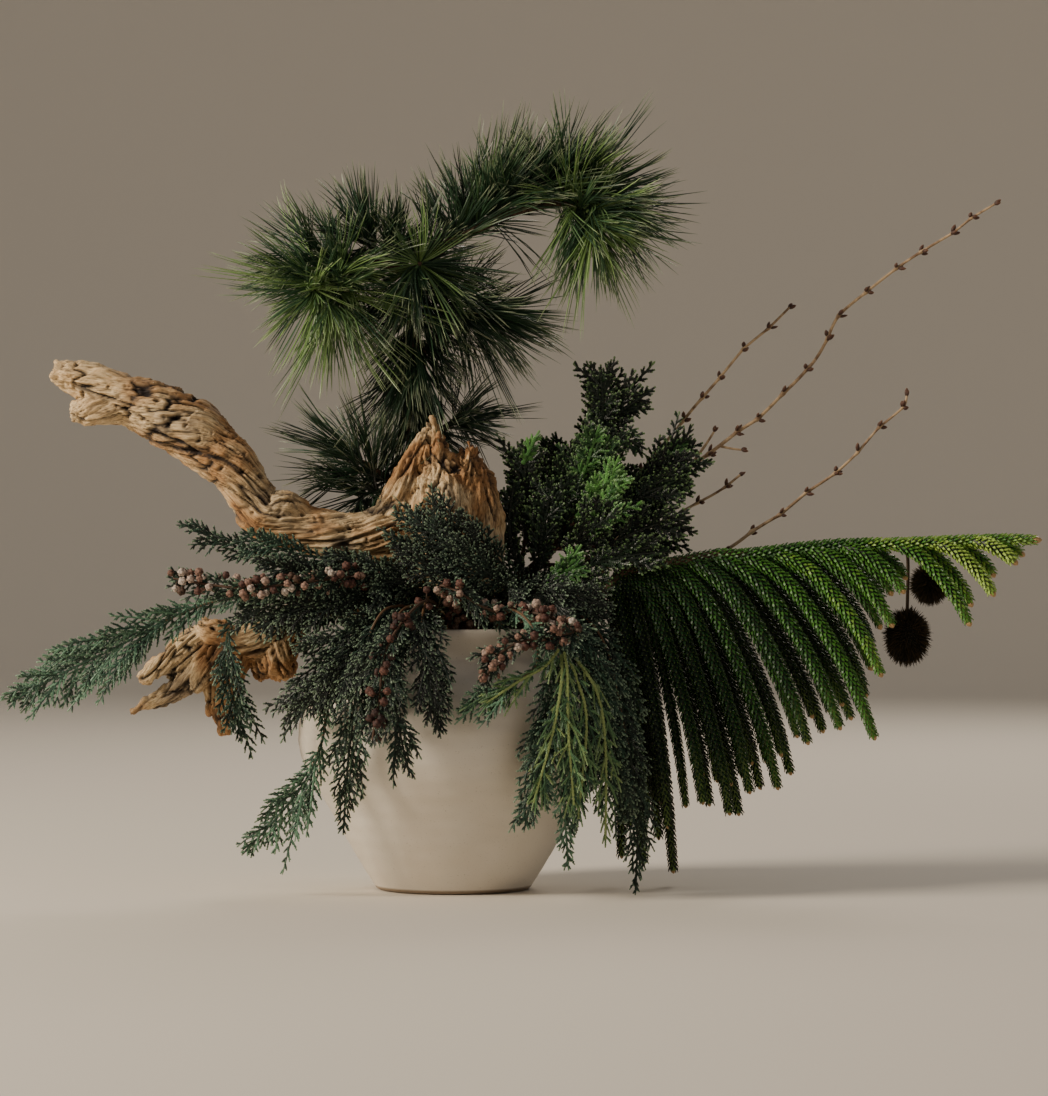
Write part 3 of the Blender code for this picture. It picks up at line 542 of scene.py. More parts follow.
hinokiSprays = {  # blades only: each grows from an end of the hinoki wood
    # Low tone ranges are painted shade inside the tree, the high ones painted light on the front
    "hinoki_top": ([(105, 35, 322, 6), (112, 36, 344, 22), (116, 36, 364, 24), (114, 36, 386, 5)],
                   (0.0, 0.3)),
    "hinoki_bright": ([(92, 8, 274, 6), (97, 6, 290, 16), (104, 4, 312, 18), (108, 4, 338, 4)], (0.3, 0.75)),
    "hinoki_left": ([(54, 16, 262, 5), (52, 10, 282, 13), (53, 8, 306, 13), (57, 8, 330, 3)], (0.0, 0.4)),
    "hinoki_inner_left": ([(52, 2, 236, 4), (44, 0, 254, 8), (42, 0, 276, 9), (45, 0, 300, 3)], (0.0, 0.3)),
    "hinoki_right": ([(124, 32, 276, 5), (142, 35, 294, 17), (160, 38, 314, 19), (179, 40, 334, 4)],
                     (0.0, 0.35)),
    "hinoki_low_right": ([(104, 20, 244, 5), (128, 18, 250, 13), (152, 18, 260, 13), (174, 19, 268, 3)],
                         (0.0, 0.3)),
    "hinoki_back": ([(82, 46, 272, 5), (84, 51, 290, 15), (82, 53, 314, 15), (78, 53, 338, 3)], (0.0, 0.4)),
    "hinoki_front": ([(68, -14, 226, 4), (76, -20, 232, 9), (85, -23, 238, 9), (93, -24, 243, 2)],
                     (0.6, 1.0)),
    "hinoki_back_right": ([(122, 72, 256, 5), (138, 84, 272, 14), (150, 90, 288, 13), (159, 95, 306, 3)],
                          (0.0, 0.35)),
}


def branchPaths(twigs, stations):
    u = np.asarray(stations)[None, :, None]
    return twigs["base"][:, None] + twigs["length"][:, None, None] * (
        u * twigs["aim"][:, None] + u ** 2 * twigs["bend"][:, None])


def sideTwigs(twigs, spacing, longest, angle, look):  # alternate side twigs in each twig's own plane
    counts = np.maximum((twigs["length"] / spacing - 0.6).astype(int), 0)
    parent = np.repeat(np.arange(len(counts)), counts)
    order = np.concatenate([np.arange(c) for c in counts]) if len(counts) else np.zeros(0)
    if not len(parent):
        return None
    u = (order + 0.8 + rng.uniform(-0.15, 0.15, len(parent))) * spacing / twigs["length"][parent]
    u = np.clip(u, 0, 0.97)
    base = twigs["base"][parent] + twigs["length"][parent][:, None] * (
        u[:, None] * twigs["aim"][parent] + (u ** 2)[:, None] * twigs["bend"][parent])
    tangent = unit(twigs["aim"][parent] + 2 * u[:, None] * twigs["bend"][parent])
    facing = unit(twigs["facing"][parent] + 0.12 * rng.normal(size=base.shape))
    side = np.where((order + parent) % 2, 1.0, -1.0)[:, None] * unit(np.cross(facing, tangent))
    turn = np.radians(angle + rng.normal(0, 6, len(parent)))[:, None]
    wobble = look["lift"] * facing * rng.uniform(-1, 1, (len(parent), 1))
    aim = unit(tangent * np.cos(turn) + side * np.sin(turn) + wobble)
    shape = np.minimum(1.0, 0.45 + 2.2 * u) * np.clip(1.05 - u, 0.12, 1) ** 0.6
    length = longest * shape * rng.uniform(0.75, 1.1, len(parent))
    limit = 0.62 * twigs["length"][parent] * np.clip(1.1 - u, 0.25, 1)
    return {"base": base, "aim": aim, "length": np.minimum(length, np.maximum(limit, 2.2)),
            "bend": 0.16 * tangent + look["droop"] * down, "facing": facing}


def scaleRopes(twigs, scales, width, look, tone, alongStart=0.0):  # each tooth is a pair of scale leaves
    u = np.sort(np.r_[np.arange(scales) / scales, (np.arange(scales) + 0.72) / scales, 1.0])
    saw = np.r_[np.tile([0.62, 1.0], scales), 0.16]
    taper = np.clip(1.15 - 0.55 * u, 0.2, 1)
    paths = branchPaths(twigs, u)
    count = len(paths)
    widths = width * (saw * taper)[None] * rng.uniform(0.9, 1.1, (count, 1))
    facing = np.broadcast_to(twigs["facing"][:, None], paths.shape)
    along = alongStart + (1 - alongStart) * np.broadcast_to(u, widths.shape)
    return sweep(paths, facing, widths, widths * look["flat"], 4, tone, along)


def growSpray(blade, kind, tones, stem=None):
    look = scaleLook[kind]
    chunks = []
    if stem is not None:  # leaves start where the stem leaves the mouth
        path = curveThrough(stem + [p[:3] for p in blade[:2]], 3.0)
        chunks.append(rod(path, np.linspace(1.5, 0.8, len(path)), 7, woodTone))
        blade = [(*p, min(blade[0][3] + 2, 9)) for p in stem[3:]] + blade
    axis = curveThrough(blade, 1.0)
    tangent, _ = framesAlong(axis[:, :3])
    across = unit(np.cross(tangent, front))
    facing = unit(np.cross(across, tangent))
    facing = np.where((facing @ front)[:, None] < 0, -facing, facing)
    length = len(axis) - 1
    places = np.arange(2.0, length - 1, look["spacing"] / 2)
    places = np.clip(places + rng.uniform(-0.8, 0.8, len(places)), 0, length - 1)
    at = places.astype(int)
    side = np.where(np.arange(len(at)) % 2, 1.0, -1.0)[:, None]
    turn = np.radians(np.clip(look["angle"] + rng.normal(0, 7, len(at)), 15, 60))[:, None]
    lean = unit(facing[at] + 0.35 * rng.normal(size=(len(at), 3)))
    lean = unit(lean - tangent[at] * np.sum(lean * tangent[at], axis=1, keepdims=True))
    outward = side * unit(np.cross(lean, tangent[at]))
    aim = unit(tangent[at] * np.cos(turn) + outward * np.sin(turn)
               + look["lift"] * rng.uniform(-1, 1, (len(at), 1)) * lean)
    half = np.maximum(axis[at, 3], 3.0)
    ahead = (length - at + 10) / np.cos(turn[:, 0])  # no side twig outgrows the spray's tip
    laterals = {"base": axis[at, :3], "aim": aim, "facing": lean,
                "length": np.minimum(half / np.sin(turn[:, 0]) * rng.uniform(0.7, 1.25, len(at)), ahead),
                "bend": 0.16 * tangent[at] + look["droop"] * down + 0.05 * rng.normal(size=aim.shape)}
    leader = {"base": axis[-8:-7, :3], "aim": tangent[-8:-7], "facing": facing[-8:-7],
              "length": np.array([12.0]), "bend": 0.1 * tangent[-1:]}
    laterals = {key: np.concatenate([laterals[key], leader[key]]) for key in laterals}
    low, high = tones
    orders = [laterals]
    orders.append(sideTwigs(laterals, look["childSpacing"], look["childLength"], 40, look))
    orders.append(sideTwigs(orders[1], look["leafSpacing"], look["leafLength"], 38, look))
    shade = rng.uniform(-0.12, 0.12)
    for level, (twigs, scales, width) in enumerate(zip(orders, (12, 6, 3), (1.05, 1.0, 0.95))):
        if twigs is None:
            continue
        tone = leafTone * np.clip(rng.uniform(low, high, len(twigs["base"])) + shade, 0, 1)
        chunks.append(scaleRopes(twigs, scales, width * look["width"], look, tone, 0.3 * level))
    teeth = np.where(np.arange(len(axis)) % 3, 1.0, 0.7)
    axisWidth = (np.linspace(1.25, 0.9, len(axis)) * teeth * look["width"])[None]
    chunks.append(sweep(axis[None, :, :3], facing[None], axisWidth, axisWidth * 0.85, 6,
                        np.array([leafTone * (low + high) / 2 if kind != "young" else 0.82]),
                        np.full((1, len(axis)), 0.2)))
    return chunks


def camel(name):
    first, *rest = name.split("_")
    return first + "".join(word.capitalize() for word in rest)


hinokiSunlit = [  # young bright fans where the light reaches in
    [(95, 6, 305, 5), (100, 0, 318, 12), (104, -2, 330, 12), (108, -4, 342, 3)],
    [(92, 2, 278, 5), (104, -4, 290, 14), (114, -8, 302, 13), (124, -10, 312, 3)],
    [(98, 4, 262, 5), (106, -4, 272, 12), (114, -8, 282, 11), (122, -10, 290, 3)],
    [(52, 2, 318, 4), (56, 0, 326, 7), (62, 0, 338, 2)],
    [(148, 34, 316, 4), (160, 34, 326, 8), (174, 38, 335, 2)],
    [(70, -12, 226, 4), (77, -18, 234, 8), (86, -22, 242, 8), (94, -24, 248, 2)],
]
hinokiFill = [  # further fans between the main ones, darkened as painted shade
    [(80, 14, 256, 8), (82, 12, 284, 15), (90, 10, 310, 16), (103, 10, 336, 5)],
    [(69, 28, 250, 8), (60, 30, 278, 14), (54, 32, 304, 14), (49, 32, 330, 4)],
    [(52, 12, 232, 6), (44, 12, 256, 9), (38, 12, 276, 9), (33, 12, 294, 3)],
    [(104, 26, 258, 8), (124, 22, 276, 14), (146, 20, 298, 17), (172, 22, 326, 4)],
    [(104, 8, 250, 7), (126, 2, 262, 13), (150, 0, 272, 14), (175, 0, 278, 4)],
    [(98, 0, 240, 6), (116, -8, 246, 11), (136, -12, 250, 12), (158, -12, 252, 4)],
    [(92, 22, 286, 6), (100, 20, 304, 14), (110, 20, 322, 15), (120, 22, 340, 4)],
    [(104, 30, 326, 5), (110, 28, 344, 12), (113, 26, 362, 13), (111, 26, 384, 3)],
    [(106, 36, 340, 4), (120, 36, 354, 9), (134, 34, 364, 10), (148, 34, 374, 3)],
    [(103, 26, 330, 4), (116, 24, 338, 8), (128, 22, 338, 9), (141, 22, 332, 3)],
    [(64, 6, 240, 7), (66, 0, 262, 13), (70, -2, 282, 14), (74, -2, 302, 4)],
    [(84, 2, 242, 7), (96, -6, 260, 14), (106, -10, 274, 14), (118, -12, 288, 4)],
    [(74, -10, 226, 5), (86, -20, 232, 10), (98, -24, 234, 10), (112, -26, 230, 3)],
    [(118, 14, 272, 6), (136, 8, 290, 13), (154, 6, 300, 13), (176, 8, 302, 4)],
    [(60, 44, 246, 7), (60, 56, 272, 14), (62, 62, 298, 14), (66, 64, 326, 4)],
    [(96, 56, 250, 7), (112, 68, 268, 14), (124, 74, 290, 15), (132, 76, 314, 4)],
    [(88, 48, 262, 6), (98, 54, 290, 14), (104, 54, 320, 14), (106, 52, 348, 4)],
]
cypressMass = [  # the dense heap over the vase's left shoulder, given dark tones as painted shade, then the hanging heap on its right
    [(-22, -62, 217, 7), (-51, -92, 205, 13), (-80, -104, 190, 13), (-109, -100, 180, 4)],
    [(-22, -70, 212, 7), (-38, -104, 186, 12), (-49, -116, 156, 12), (-60, -112, 128, 3)],
    [(-19, -66, 217, 6), (-15, -100, 196, 11), (-10, -114, 164, 10), (-9, -122, 130, 2)],
    [(-37, -56, 217, 7), (-73, -88, 218, 12), (-109, -98, 211, 12), (-138, -98, 197, 4)],
    [(-51, -50, 225, 7), (-80, -78, 234, 11), (-109, -90, 238, 11), (-140, -94, 245, 4)],
    [(-30, -66, 205, 7), (-66, -104, 178, 13), (-93, -106, 152, 12), (-118, -92, 132, 3)],
    [(-30, -60, 214, 7), (-55, -94, 196, 12), (-76, -110, 168, 12), (-92, -108, 140, 3)],
    [(-40, -50, 222, 7), (-78, -84, 222, 12), (-118, -96, 216, 12), (-150, -98, 206, 4)],
    [(-12, -62, 210, 6), (-30, -98, 200, 12), (-48, -118, 180, 12), (-70, -118, 160, 4)],
    [(50, -58, 222, 7), (28, -72, 236, 13), (2, -78, 254, 14), (-26, -78, 274, 5)],
    [(34, -56, 216, 7), (14, -76, 226, 13), (-12, -82, 240, 13), (-40, -82, 254, 4)],
    [(40, -50, 226, 7), (24, -64, 246, 12), (6, -70, 266, 12), (-10, -72, 290, 3)],
    [(56, -44, 224, 6), (40, -56, 240, 11), (26, -60, 256, 10), (16, -60, 274, 3)],
    [(-10, -60, 216, 6), (-30, -76, 228, 12), (-58, -82, 238, 12), (-90, -80, 250, 4)],
    [(60, -70, 204, 6), (76, -104, 176, 11), (68, -116, 130, 13), (60, -112, 76, 3)],
    [(66, -66, 204, 6), (90, -92, 170, 11), (95, -98, 116, 12), (88, -92, 52, 3)],
    [(76, -56, 208, 6), (104, -76, 180, 11), (113, -74, 124, 12), (108, -66, 64, 3)],
    [(80, -46, 210, 6), (116, -60, 182, 11), (128, -58, 124, 12), (134, -54, 66, 3)],
    [(70, -60, 206, 6), (96, -90, 186, 12), (106, -92, 150, 12), (104, -90, 104, 3)],
]
cypressYoung = [  # limp young growth, yellow-green down to its stems
    [(82, -114, 180, 4), (84, -124, 166, 6), (85, -126, 122, 12), (89, -120, 70, 3)],
    [(84, -112, 178, 4), (92, -120, 158, 6), (98, -119, 128, 11), (92, -116, 60, 3)],
    [(80, -114, 178, 4), (80, -126, 160, 6), (74, -127, 124, 12), (60, -123, 72, 3)],
    [(90, -100, 176, 4), (106, -106, 150, 6), (112, -104, 110, 9), (112, -100, 44, 2)],
    [(78, -116, 182, 4), (68, -124, 170, 7), (50, -128, 160, 10), (26, -129, 144, 2)],
]
fillingLook = {  # pieces that each filling is split into, and tone ranges; the low ranges are painted shade inside the heaps
    "cypressPieces": 8, "hinokiPieces": 4, "shoulder": (0.0, 0.38), "hanging": (0.15, 0.75),
    "hangingFrom": 55, "hinoki": (0.0, 0.38), "sunlit": (0.6, 1.0), "young": (0.25, 0.85),
}
cypressFill = {"count": 30, "mouthRadius": 46.0, "reach": (62, 112), "rise": (14, 34), "tones": (0.0, 0.28)}


def fillingSprays():  # short sprays all round the mouth, darkened as painted shade, kept clear of the bare rim at the front
    for number in range(cypressFill["count"]):
        turn = 2 * np.pi * (number + rng.uniform(-0.3, 0.3)) / cypressFill["count"]
        ahead = np.array([np.cos(turn), np.sin(turn), 0.0])
        bareRim = turn > np.pi and abs(ahead[0] - 0.05) < 0.42
        reach = rng.uniform(*cypressFill["reach"]) * (0.62 if bareRim else 1.0)
        rise = rng.uniform(*cypressFill["rise"])
        start = cypressFill["mouthRadius"] * ahead * rng.uniform(0.45, 1.0)
        half = rng.uniform(9, 13)
        yield [(*(start + [0, 0, 196]), 5), (*(ahead * (reach * 0.45 + 22) + [0, 0, 202 + 0.7 * rise]), half),
               (*(ahead * (reach * 0.75 + 18) + [0, 0, 200 + rise]), half),
               (*(ahead * (reach + 14) + [0, 0, 194 + rise * 0.6]), 3)]


def makeSprays(blue):
    young = foliageMaterial("cypressYoungWaxy", ["#10251a", "#2b4c34", "#52754a", "#8b9a5e"], "#8fa578",
                            0.82, 0.5)
    dark = foliageMaterial("hinokiScaleGlossy", ["#050c07", "#0d2012", "#2a4f28", "#5c9147"], "#84a86c",
                           0.85, 0.4)
    for name, (mouth, stem, blade, tones) in cypressSprays.items():
        chunks = growSpray(blade, "cypress", tones, entry(*mouth) + stem)
        makePiece(camel(name), chunks, blue, [name], smooth=False)
    filling = []
    for blade in cypressMass:
        heap = "shoulder" if blade[-1][0] < fillingLook["hangingFrom"] else "hanging"
        filling.append(growSpray(blade, "cypress", fillingLook[heap]))
    filling += [growSpray(blade, "cypress", cypressFill["tones"]) for blade in fillingSprays()]
    for number in range(fillingLook["cypressPieces"]):
        makePiece(f"cypressFilling{number + 1}", sum(filling[number::fillingLook["cypressPieces"]], []), blue,
                  smooth=False)
    sunlit = sum([growSpray(blade, "hinoki", fillingLook["sunlit"]) for blade in hinokiSunlit], [])
    makePiece("hinokiSunlit", sunlit, dark, smooth=False)
    limp = sum([growSpray(blade, "young", fillingLook["young"]) for blade in cypressYoung], [])
    makePiece("cypressYoung", limp, young, smooth=False)
    for name, (blade, tones) in hinokiSprays.items():
        makePiece(camel(name), growSpray(blade, "hinoki", tones), dark, [name], smooth=False)
    for number in range(fillingLook["hinokiPieces"]):
        blades = hinokiFill[number::fillingLook["hinokiPieces"]]
        chunks = sum([growSpray(blade, "hinoki", fillingLook["hinoki"]) for blade in blades], [])
        makePiece(f"hinokiFilling{number + 1}", chunks, dark, smooth=False)


# Driftwood

driftLook = {
    "voxel": 1.1, "lump": 2.4, "fibre": 2.3, "crack": 3.0, "twist": 0.02, "pale": "#e2cba2", "tan": "#b98f5f",
    # dark: the painted shade colour laid into cracks, checks and pits
    "red": "#74492f", "grey": "#978977", "dark": "#1d120c",
}
driftArm = [  # x, y, z, radius
    [(0, 1, 34, 10), (0, 1, 117, 15), (0, 2, 200, 20), (-4, -5, 228, 25), (-8, -12, 262, 29),
     (-9, -12, 285, 27),
     (-10, -10, 305, 21), (-13, -8, 326, 12), (-17, -7, 349, 3)],
    [(4, -10, 275, 22), (9, -8, 303, 17), (13, -7, 329, 6)],
    [(-14, -14, 262, 21), (-48, -20, 262, 20), (-84, -26, 264, 18), (-113, -30, 270, 17),
     (-137, -31, 277, 17),
     (-148, -31, 291, 17), (-163, -31, 314, 19), (-188, -30, 338, 23), (-211, -30, 351, 23),
     (-240, -29, 365, 18),
     (-263, -28, 376, 15), (-284, -28, 383, 12), (-296, -28, 387, 8)],
    [(-236, -30, 360, 13), (-260, -32, 358, 12), (-274, -32, 356, 10), (-282, -31, 355, 6)],
    [(-110, -30, 276, 10), (-124, -36, 286, 12), (-140, -34, 284, 8)],
    [(-44, -14, 238, 12), (-42, -14, 262, 15), (-34, -13, 292, 12), (-24, -11, 326, 6), (-19, -10, 344, 3)],
    [(-68, -20, 262, 15), (-54, -18, 272, 15), (-42, -16, 292, 11), (-32, -14, 316, 8), (-22, -13, 340, 4)],
    [(18, -6, 220, 14), (22, -8, 262, 16), (21, -8, 300, 11), (18, -8, 322, 5)],
]
driftRoot = [
    [(-23, -1, 34, 8), (-34.5, -1.5, 117, 8), (-46, -2, 200, 9), (-62, -8, 212, 10), (-84, -18, 217, 10),
     (-108, -28, 210, 11), (-130, -38, 190, 15), (-155, -42, 184, 14), (-178, -44, 191, 12),
     (-189, -44, 198, 7)],
    [(-178, -43, 192, 11), (-200, -42, 182, 10), (-216, -41, 168, 8), (-230, -41, 157, 4)],
    [(-168, -42, 184, 13), (-190, -40, 162, 12), (-212, -38, 146, 8), (-238, -36, 133, 3)],
    [(-172, -43, 190, 12), (-196, -40, 172, 10), (-210, -38, 158, 5)],
    [(-166, -46, 184, 10), (-180, -50, 166, 9), (-190, -52, 150, 4)],
    [(-158, -42, 180, 12), (-166, -42, 158, 11), (-168, -41, 138, 10), (-168, -40, 117, 5)],
    [(-162, -40, 182, 10), (-176, -40, 158, 8), (-178, -40, 132, 4)],
    [(-132, -40, 186, 13), (-128, -42, 172, 14), (-122, -44, 159, 8)],
    [(-136, -38, 184, 11), (-140, -40, 170, 10), (-136, -44, 160, 6)],
]
stumpSplinters = [  # x, y, foot height, top height, radius
    (-26, -18, 258, 318, 4.0), (-21, -21, 262, 331, 3.4), (-16, -15, 280, 352, 3.2),
    (-11, -20, 270, 340, 3.4),
    (-5, -23, 262, 322, 3.6), (1, -25, 256, 314, 3.6), (7, -23, 262, 325, 3.6), (13, -19, 266, 336, 3.2),
    (19, -13, 270, 330, 3.4), (23, -4, 262, 320, 3.2), (-29, -6, 258, 312, 3.4), (-8, 4, 280, 330, 3.2),
    (6, 4, 270, 322, 3.2), (16, 4, 262, 316, 3.2), (-20, 6, 262, 316, 3.2), (24, 2, 250, 300, 3.4),
]


def driftwoodMaterial():  # sun-bleached, sanded by water: dry fibres, painted shade in its checks, cracks and pits, no shine
    material, tree, shader = newMaterial("driftwoodWeathered", 0.8, 1.5)
    grain = addNode(tree, "ShaderNodeAttribute", {"attribute_name": "grainPlace"}).outputs["Vector"]
    hollow = addNode(tree, "ShaderNodeAttribute", {"attribute_name": "hollow"}).outputs["Fac"]
    place = objectPlace(tree)
    tint = colourRamp(tree, noiseTexture(tree, place, 22.0, 3.0), [
        (0.3, driftLook["red"]), (0.46, driftLook["tan"]), (0.6, driftLook["pale"]),
        (0.74, driftLook["grey"])])
    streak = noiseTexture(tree, grain, 1.1, 5.0, 0.65)
    streaks = colourRamp(tree, streak, [(0.32, "#5a4636"), (0.47, "#ded2c2"), (0.62, "#ffffff")])
    end = addNode(tree, "ShaderNodeSeparateXYZ", inputs={"Vector": place}).outputs["X"]
    paleTowardsEnd = remap(tree, end, -0.19, -0.29, toMax=0.75)  # the raised end of the arm is the palest
    paledTint = mixColours(tree, paleTowardsEnd, tint, hexColour(driftLook["pale"]))
    fibres = mixColours(tree, 0.85, paledTint, streaks, "MULTIPLY")
    connect(tree, shader, {
        # painted shade: the deeper a point lies in a crack, check, pit or groove between fibres, the darker it
        # is painted
        "Base Color": mixColours(tree, hollow, fibres, hexColour(driftLook["dark"])),
        "Normal": bumpNormal(tree, streak, 0.5, 0.5)})
    return material


def noiseAt(places, scale):
    return np.array([noise.noise(Vector(p)) for p in (places * scale).tolist()])


def cellEdges(places, scale):  # 0 on the borders between cells, rising inside
    values = np.empty(len(places))
    for i, p in enumerate((places * scale).tolist()):
        (near, second, *_), _ = noise.voronoi(Vector(p))
        values[i] = second - near
    return values


def makeDriftwood(name, node, routes, splinters, material):
    curves = [curveThrough(route, 2.0) for route in routes]
    chunks = [rod(curve[:, :3], curve[:, 3], 24) for curve in curves]
    for x, y, foot, top, radius in splinters:
        path = curveThrough([(x * 1.05, y * 1.05, foot, radius), (x, y, (foot + top) / 2, radius),
                             (x * 0.92, y * 0.9, top, 0.9)], 2.0)
        chunks.append(rod(path[:, :3], path[:, 3], 8))
    rough = makePiece(name + "Rough", chunks, material)
    remesh = rough.modifiers.new("join", "REMESH")
    remesh.mode = "VOXEL"
    remesh.voxel_size = driftLook["voxel"] * mm
    remesh.adaptivity = 0.0
    soften = rough.modifiers.new("soften", "SMOOTH")
    soften.iterations = 4
    shaped = rough.evaluated_get(bpy.context.evaluated_depsgraph_get())
    mesh = bpy.data.meshes.new_from_object(shaped)
    bpy.data.objects.remove(rough)
    count = len(mesh.vertices)
    verts = np.empty(count * 3, np.float32)
    normals = np.empty(count * 3, np.float32)
    mesh.vertices.foreach_get("co", verts)
    mesh.vertices.foreach_get("normal", normals)
    verts, normals = verts.reshape(-1, 3) / mm, normals.reshape(-1, 3)
    best = np.full(count, np.inf)
    grain = np.zeros((count, 3))
    for number, curve in enumerate(curves):  # the fibres run along the nearest limb
        tangent, facing = framesAlong(curve[:, :3])
        across = np.cross(facing, tangent)
        gap = np.linalg.norm(verts[:, None] - curve[None, :, :3], axis=2) / curve[None, :, 3]
        nearest = gap.argmin(axis=1)
        nearer = gap[np.arange(count), nearest] < best
        at = nearest[nearer]
        away = verts[nearer] - curve[at, :3]
        along = at * 2.0 + np.sum(away * tangent[at], axis=1)
        lying = abs(curve[-1, 0] - curve[0, 0]) > abs(curve[-1, 2] - curve[0, 2])
        turn = driftLook["twist"] * along * lying  # only the lying limbs have grown in a spiral
        sideways, forwards = np.sum(away * across[at], axis=1), np.sum(away * facing[at], axis=1)
        grain[nearer] = np.stack([sideways * np.cos(turn) - forwards * np.sin(turn),
                                  sideways * np.sin(turn) + forwards * np.cos(turn),
                                  along * 0.09 + 31 * number], axis=1)
        best[nearer] = gap[np.arange(count), nearest][nearer]
    torn = np.clip((verts[:, 0] + 66) / 22, 0, 1)  # the stump's straight fibres stand out more than the arm's
    lumps = (noiseAt(verts, 0.04) + 0.5 * noiseAt(verts, 0.1)) * (1 - 0.55 * torn)
    fibre = np.abs(noiseAt(grain, 0.24)) + 0.5 * np.abs(noiseAt(grain + 40, 0.55))
    splits = np.clip(1 - np.abs(noiseAt(grain + 9, 0.12)) / 0.11, 0, 1) * (noiseAt(verts, 0.025) > -0.2)
    fine = np.clip(1 - np.abs(noiseAt(grain + 3, 0.3)) / 0.16, 0, 1) * (noiseAt(verts + 5, 0.03) > -0.1)
    blocky = np.clip(1.3 - np.abs(verts[:, 0] + 205) / 45, 0, 1)  # where the arm has checked into blocks
    checks = np.clip(1 - cellEdges(grain * [1, 1, 3.2], 0.08) / 0.11, 0, 1) * (
        0.55 * (noiseAt(verts + 70, 0.02) > 0.05) + 1.0 * blocky)
    pits = np.clip(noiseAt(verts + 20, 0.16) - 0.5, 0, 0.2) / 0.2
    depth = (driftLook["lump"] * lumps + driftLook["fibre"] * (1 + 0.6 * torn) * (1.6 * fibre - 0.5)
             - driftLook["crack"] * (splits + 0.35 * fine + 0.6 * checks + 0.8 * pits))
    verts = verts + normals * depth[:, None]
    mesh.vertices.foreach_set("co", (verts * mm).ravel().astype(np.float32))
    # painted shade mask: how deep each point lies in a crack, check, pit or groove between fibres
    hollow = np.clip(1.0 * splits + 0.6 * fine + 0.85 * checks + 0.7 * pits
                     + 0.45 * np.clip(0.16 - fibre, 0, 1) / 0.16, 0, 1)
    mesh.attributes.new("hollow", "FLOAT", "POINT").data.foreach_set("value", hollow.astype(np.float32))
    mesh.attributes.new("grainPlace", "FLOAT_VECTOR", "POINT").data.foreach_set(
        "vector", grain.ravel().astype(np.float32))
    mesh.polygons.foreach_set("use_smooth", np.ones(len(mesh.polygons), bool))
    mesh.update()
    placePiece(name, mesh, material, [node])


# Small round cones on cypress twigs

coneLook = {"radius": 3.3, "tones": ["#2a1815", "#5c3a2f", "#8f7060", "#c2b5a8"], "scales": 10,
            "groove": 0.34}
coneTwigs = {  # place in the mouth, route, cones, share of the route where they start, tone range
    "cones_left": ((-34, -28), [(-56, -64, 232), (-88, -96, 232), (-117, -104, 229), (-145, -106, 226),
                                (-171, -104, 228), (-201, -98, 233)], 110, 0.45, (0.2, 1.1)),
    "cones_centre": ((6, -56), [(-8, -88, 226), (4, -100, 224), (20, -102, 214), (36, -98, 207)], 44, 0.5,
                     (0.3, 0.8)),
    "cones_front": ((-8, -64), [(-20, -108, 216), (-44, -142, 186), (-50, -148, 150), (-55, -144, 118)], 36,
                    0.6,
                    (0.0, 0.4)),
    "cones_right": ((22, -46), [(60, -100, 208), (88, -116, 196), (76, -128, 192), (52, -132, 188),
                                (34, -136, 178), (25, -138, 160)], 80, 0.5, (0.2, 1.1)),
}


def fibonacciSphere(count):
    index = np.arange(count) + 0.5
    polar = np.arccos(1 - 2 * index / count)
    turn = np.pi * (1 + 5 ** 0.5) * index
    return np.stack([np.cos(turn) * np.sin(polar), np.sin(turn) * np.sin(polar), np.cos(polar)], axis=1)


def coneBalls(centres, radii, tones):  # a ball of shield-shaped scales, each with a small point in its middle
    rings, steps = 13, 18
    polar = np.linspace(0.12, np.pi - 0.12, rings)
    turn = 2 * np.pi * np.arange(steps) / steps
    ball = np.stack([np.outer(np.sin(polar), np.cos(turn)), np.outer(np.sin(polar), np.sin(turn)),
                     np.outer(np.cos(polar), np.ones(steps))], axis=-1).reshape(-1, 3)
    index = np.arange(rings * steps).reshape(rings, steps)
    after = np.roll(index, -1, axis=1)
    quads = np.stack([index[:-1], index[1:], after[1:], after[:-1]], axis=-1).reshape(-1, 4)
    caps = np.stack([index[0], index[-1, ::-1]])
    shields = fibonacciSphere(coneLook["scales"])
    verts, faces, ends, uv = [], [], [], []
    for number, (centre, radius, tone) in enumerate(zip(centres, radii, tones)):
        spin = unit(rng.normal(size=(3, 3)))
        spin[1] = unit(np.cross(spin[0], spin[1]))
        spin[2] = np.cross(spin[0], spin[1])
        facing = shields @ spin
        angle = np.sort(np.arccos(np.clip(ball @ facing.T, -1, 1)), axis=1)
        inside = np.clip((angle[:, 1] - angle[:, 0]) / coneLook["groove"], 0, 1)
        shape = 0.74 + 0.22 * inside ** 0.6 + 0.12 * np.exp(-(angle[:, 0] / 0.17) ** 2) - 0.08 * angle[:, 0]
        verts.append(centre + radius * ball * shape[:, None])
        faces.append(quads + number * len(ball))
        ends.append(caps + number * len(ball))
        # v is low in the grooves between shields, where the material paints shade
        uv.append(np.stack([np.full(len(ball), tone), 0.02 + 0.9 * inside], axis=1))
    return {"verts": np.concatenate(verts), "faces": [np.concatenate(faces), np.concatenate(ends)],
            "uv": np.concatenate(uv)}


def coneMaterial():  # dry woody scales: matt, greyed on their faces, with painted shade in the grooves between them
    material, tree, shader = newMaterial("cypressConeWoody", 0.72, 1.45)
    u, v = leafPlace(tree)
    face = colourRamp(tree, u, toneStops(coneLook["tones"], "#4a3526"))
    # painted shade: darker towards the grooves between scales
    gap = remap(tree, v, fromMax=0.9, toMin=0.16)
    connect(tree, shader, {"Base Color": mixColours(tree, 1.0, face, gap, "MULTIPLY")})
    return material


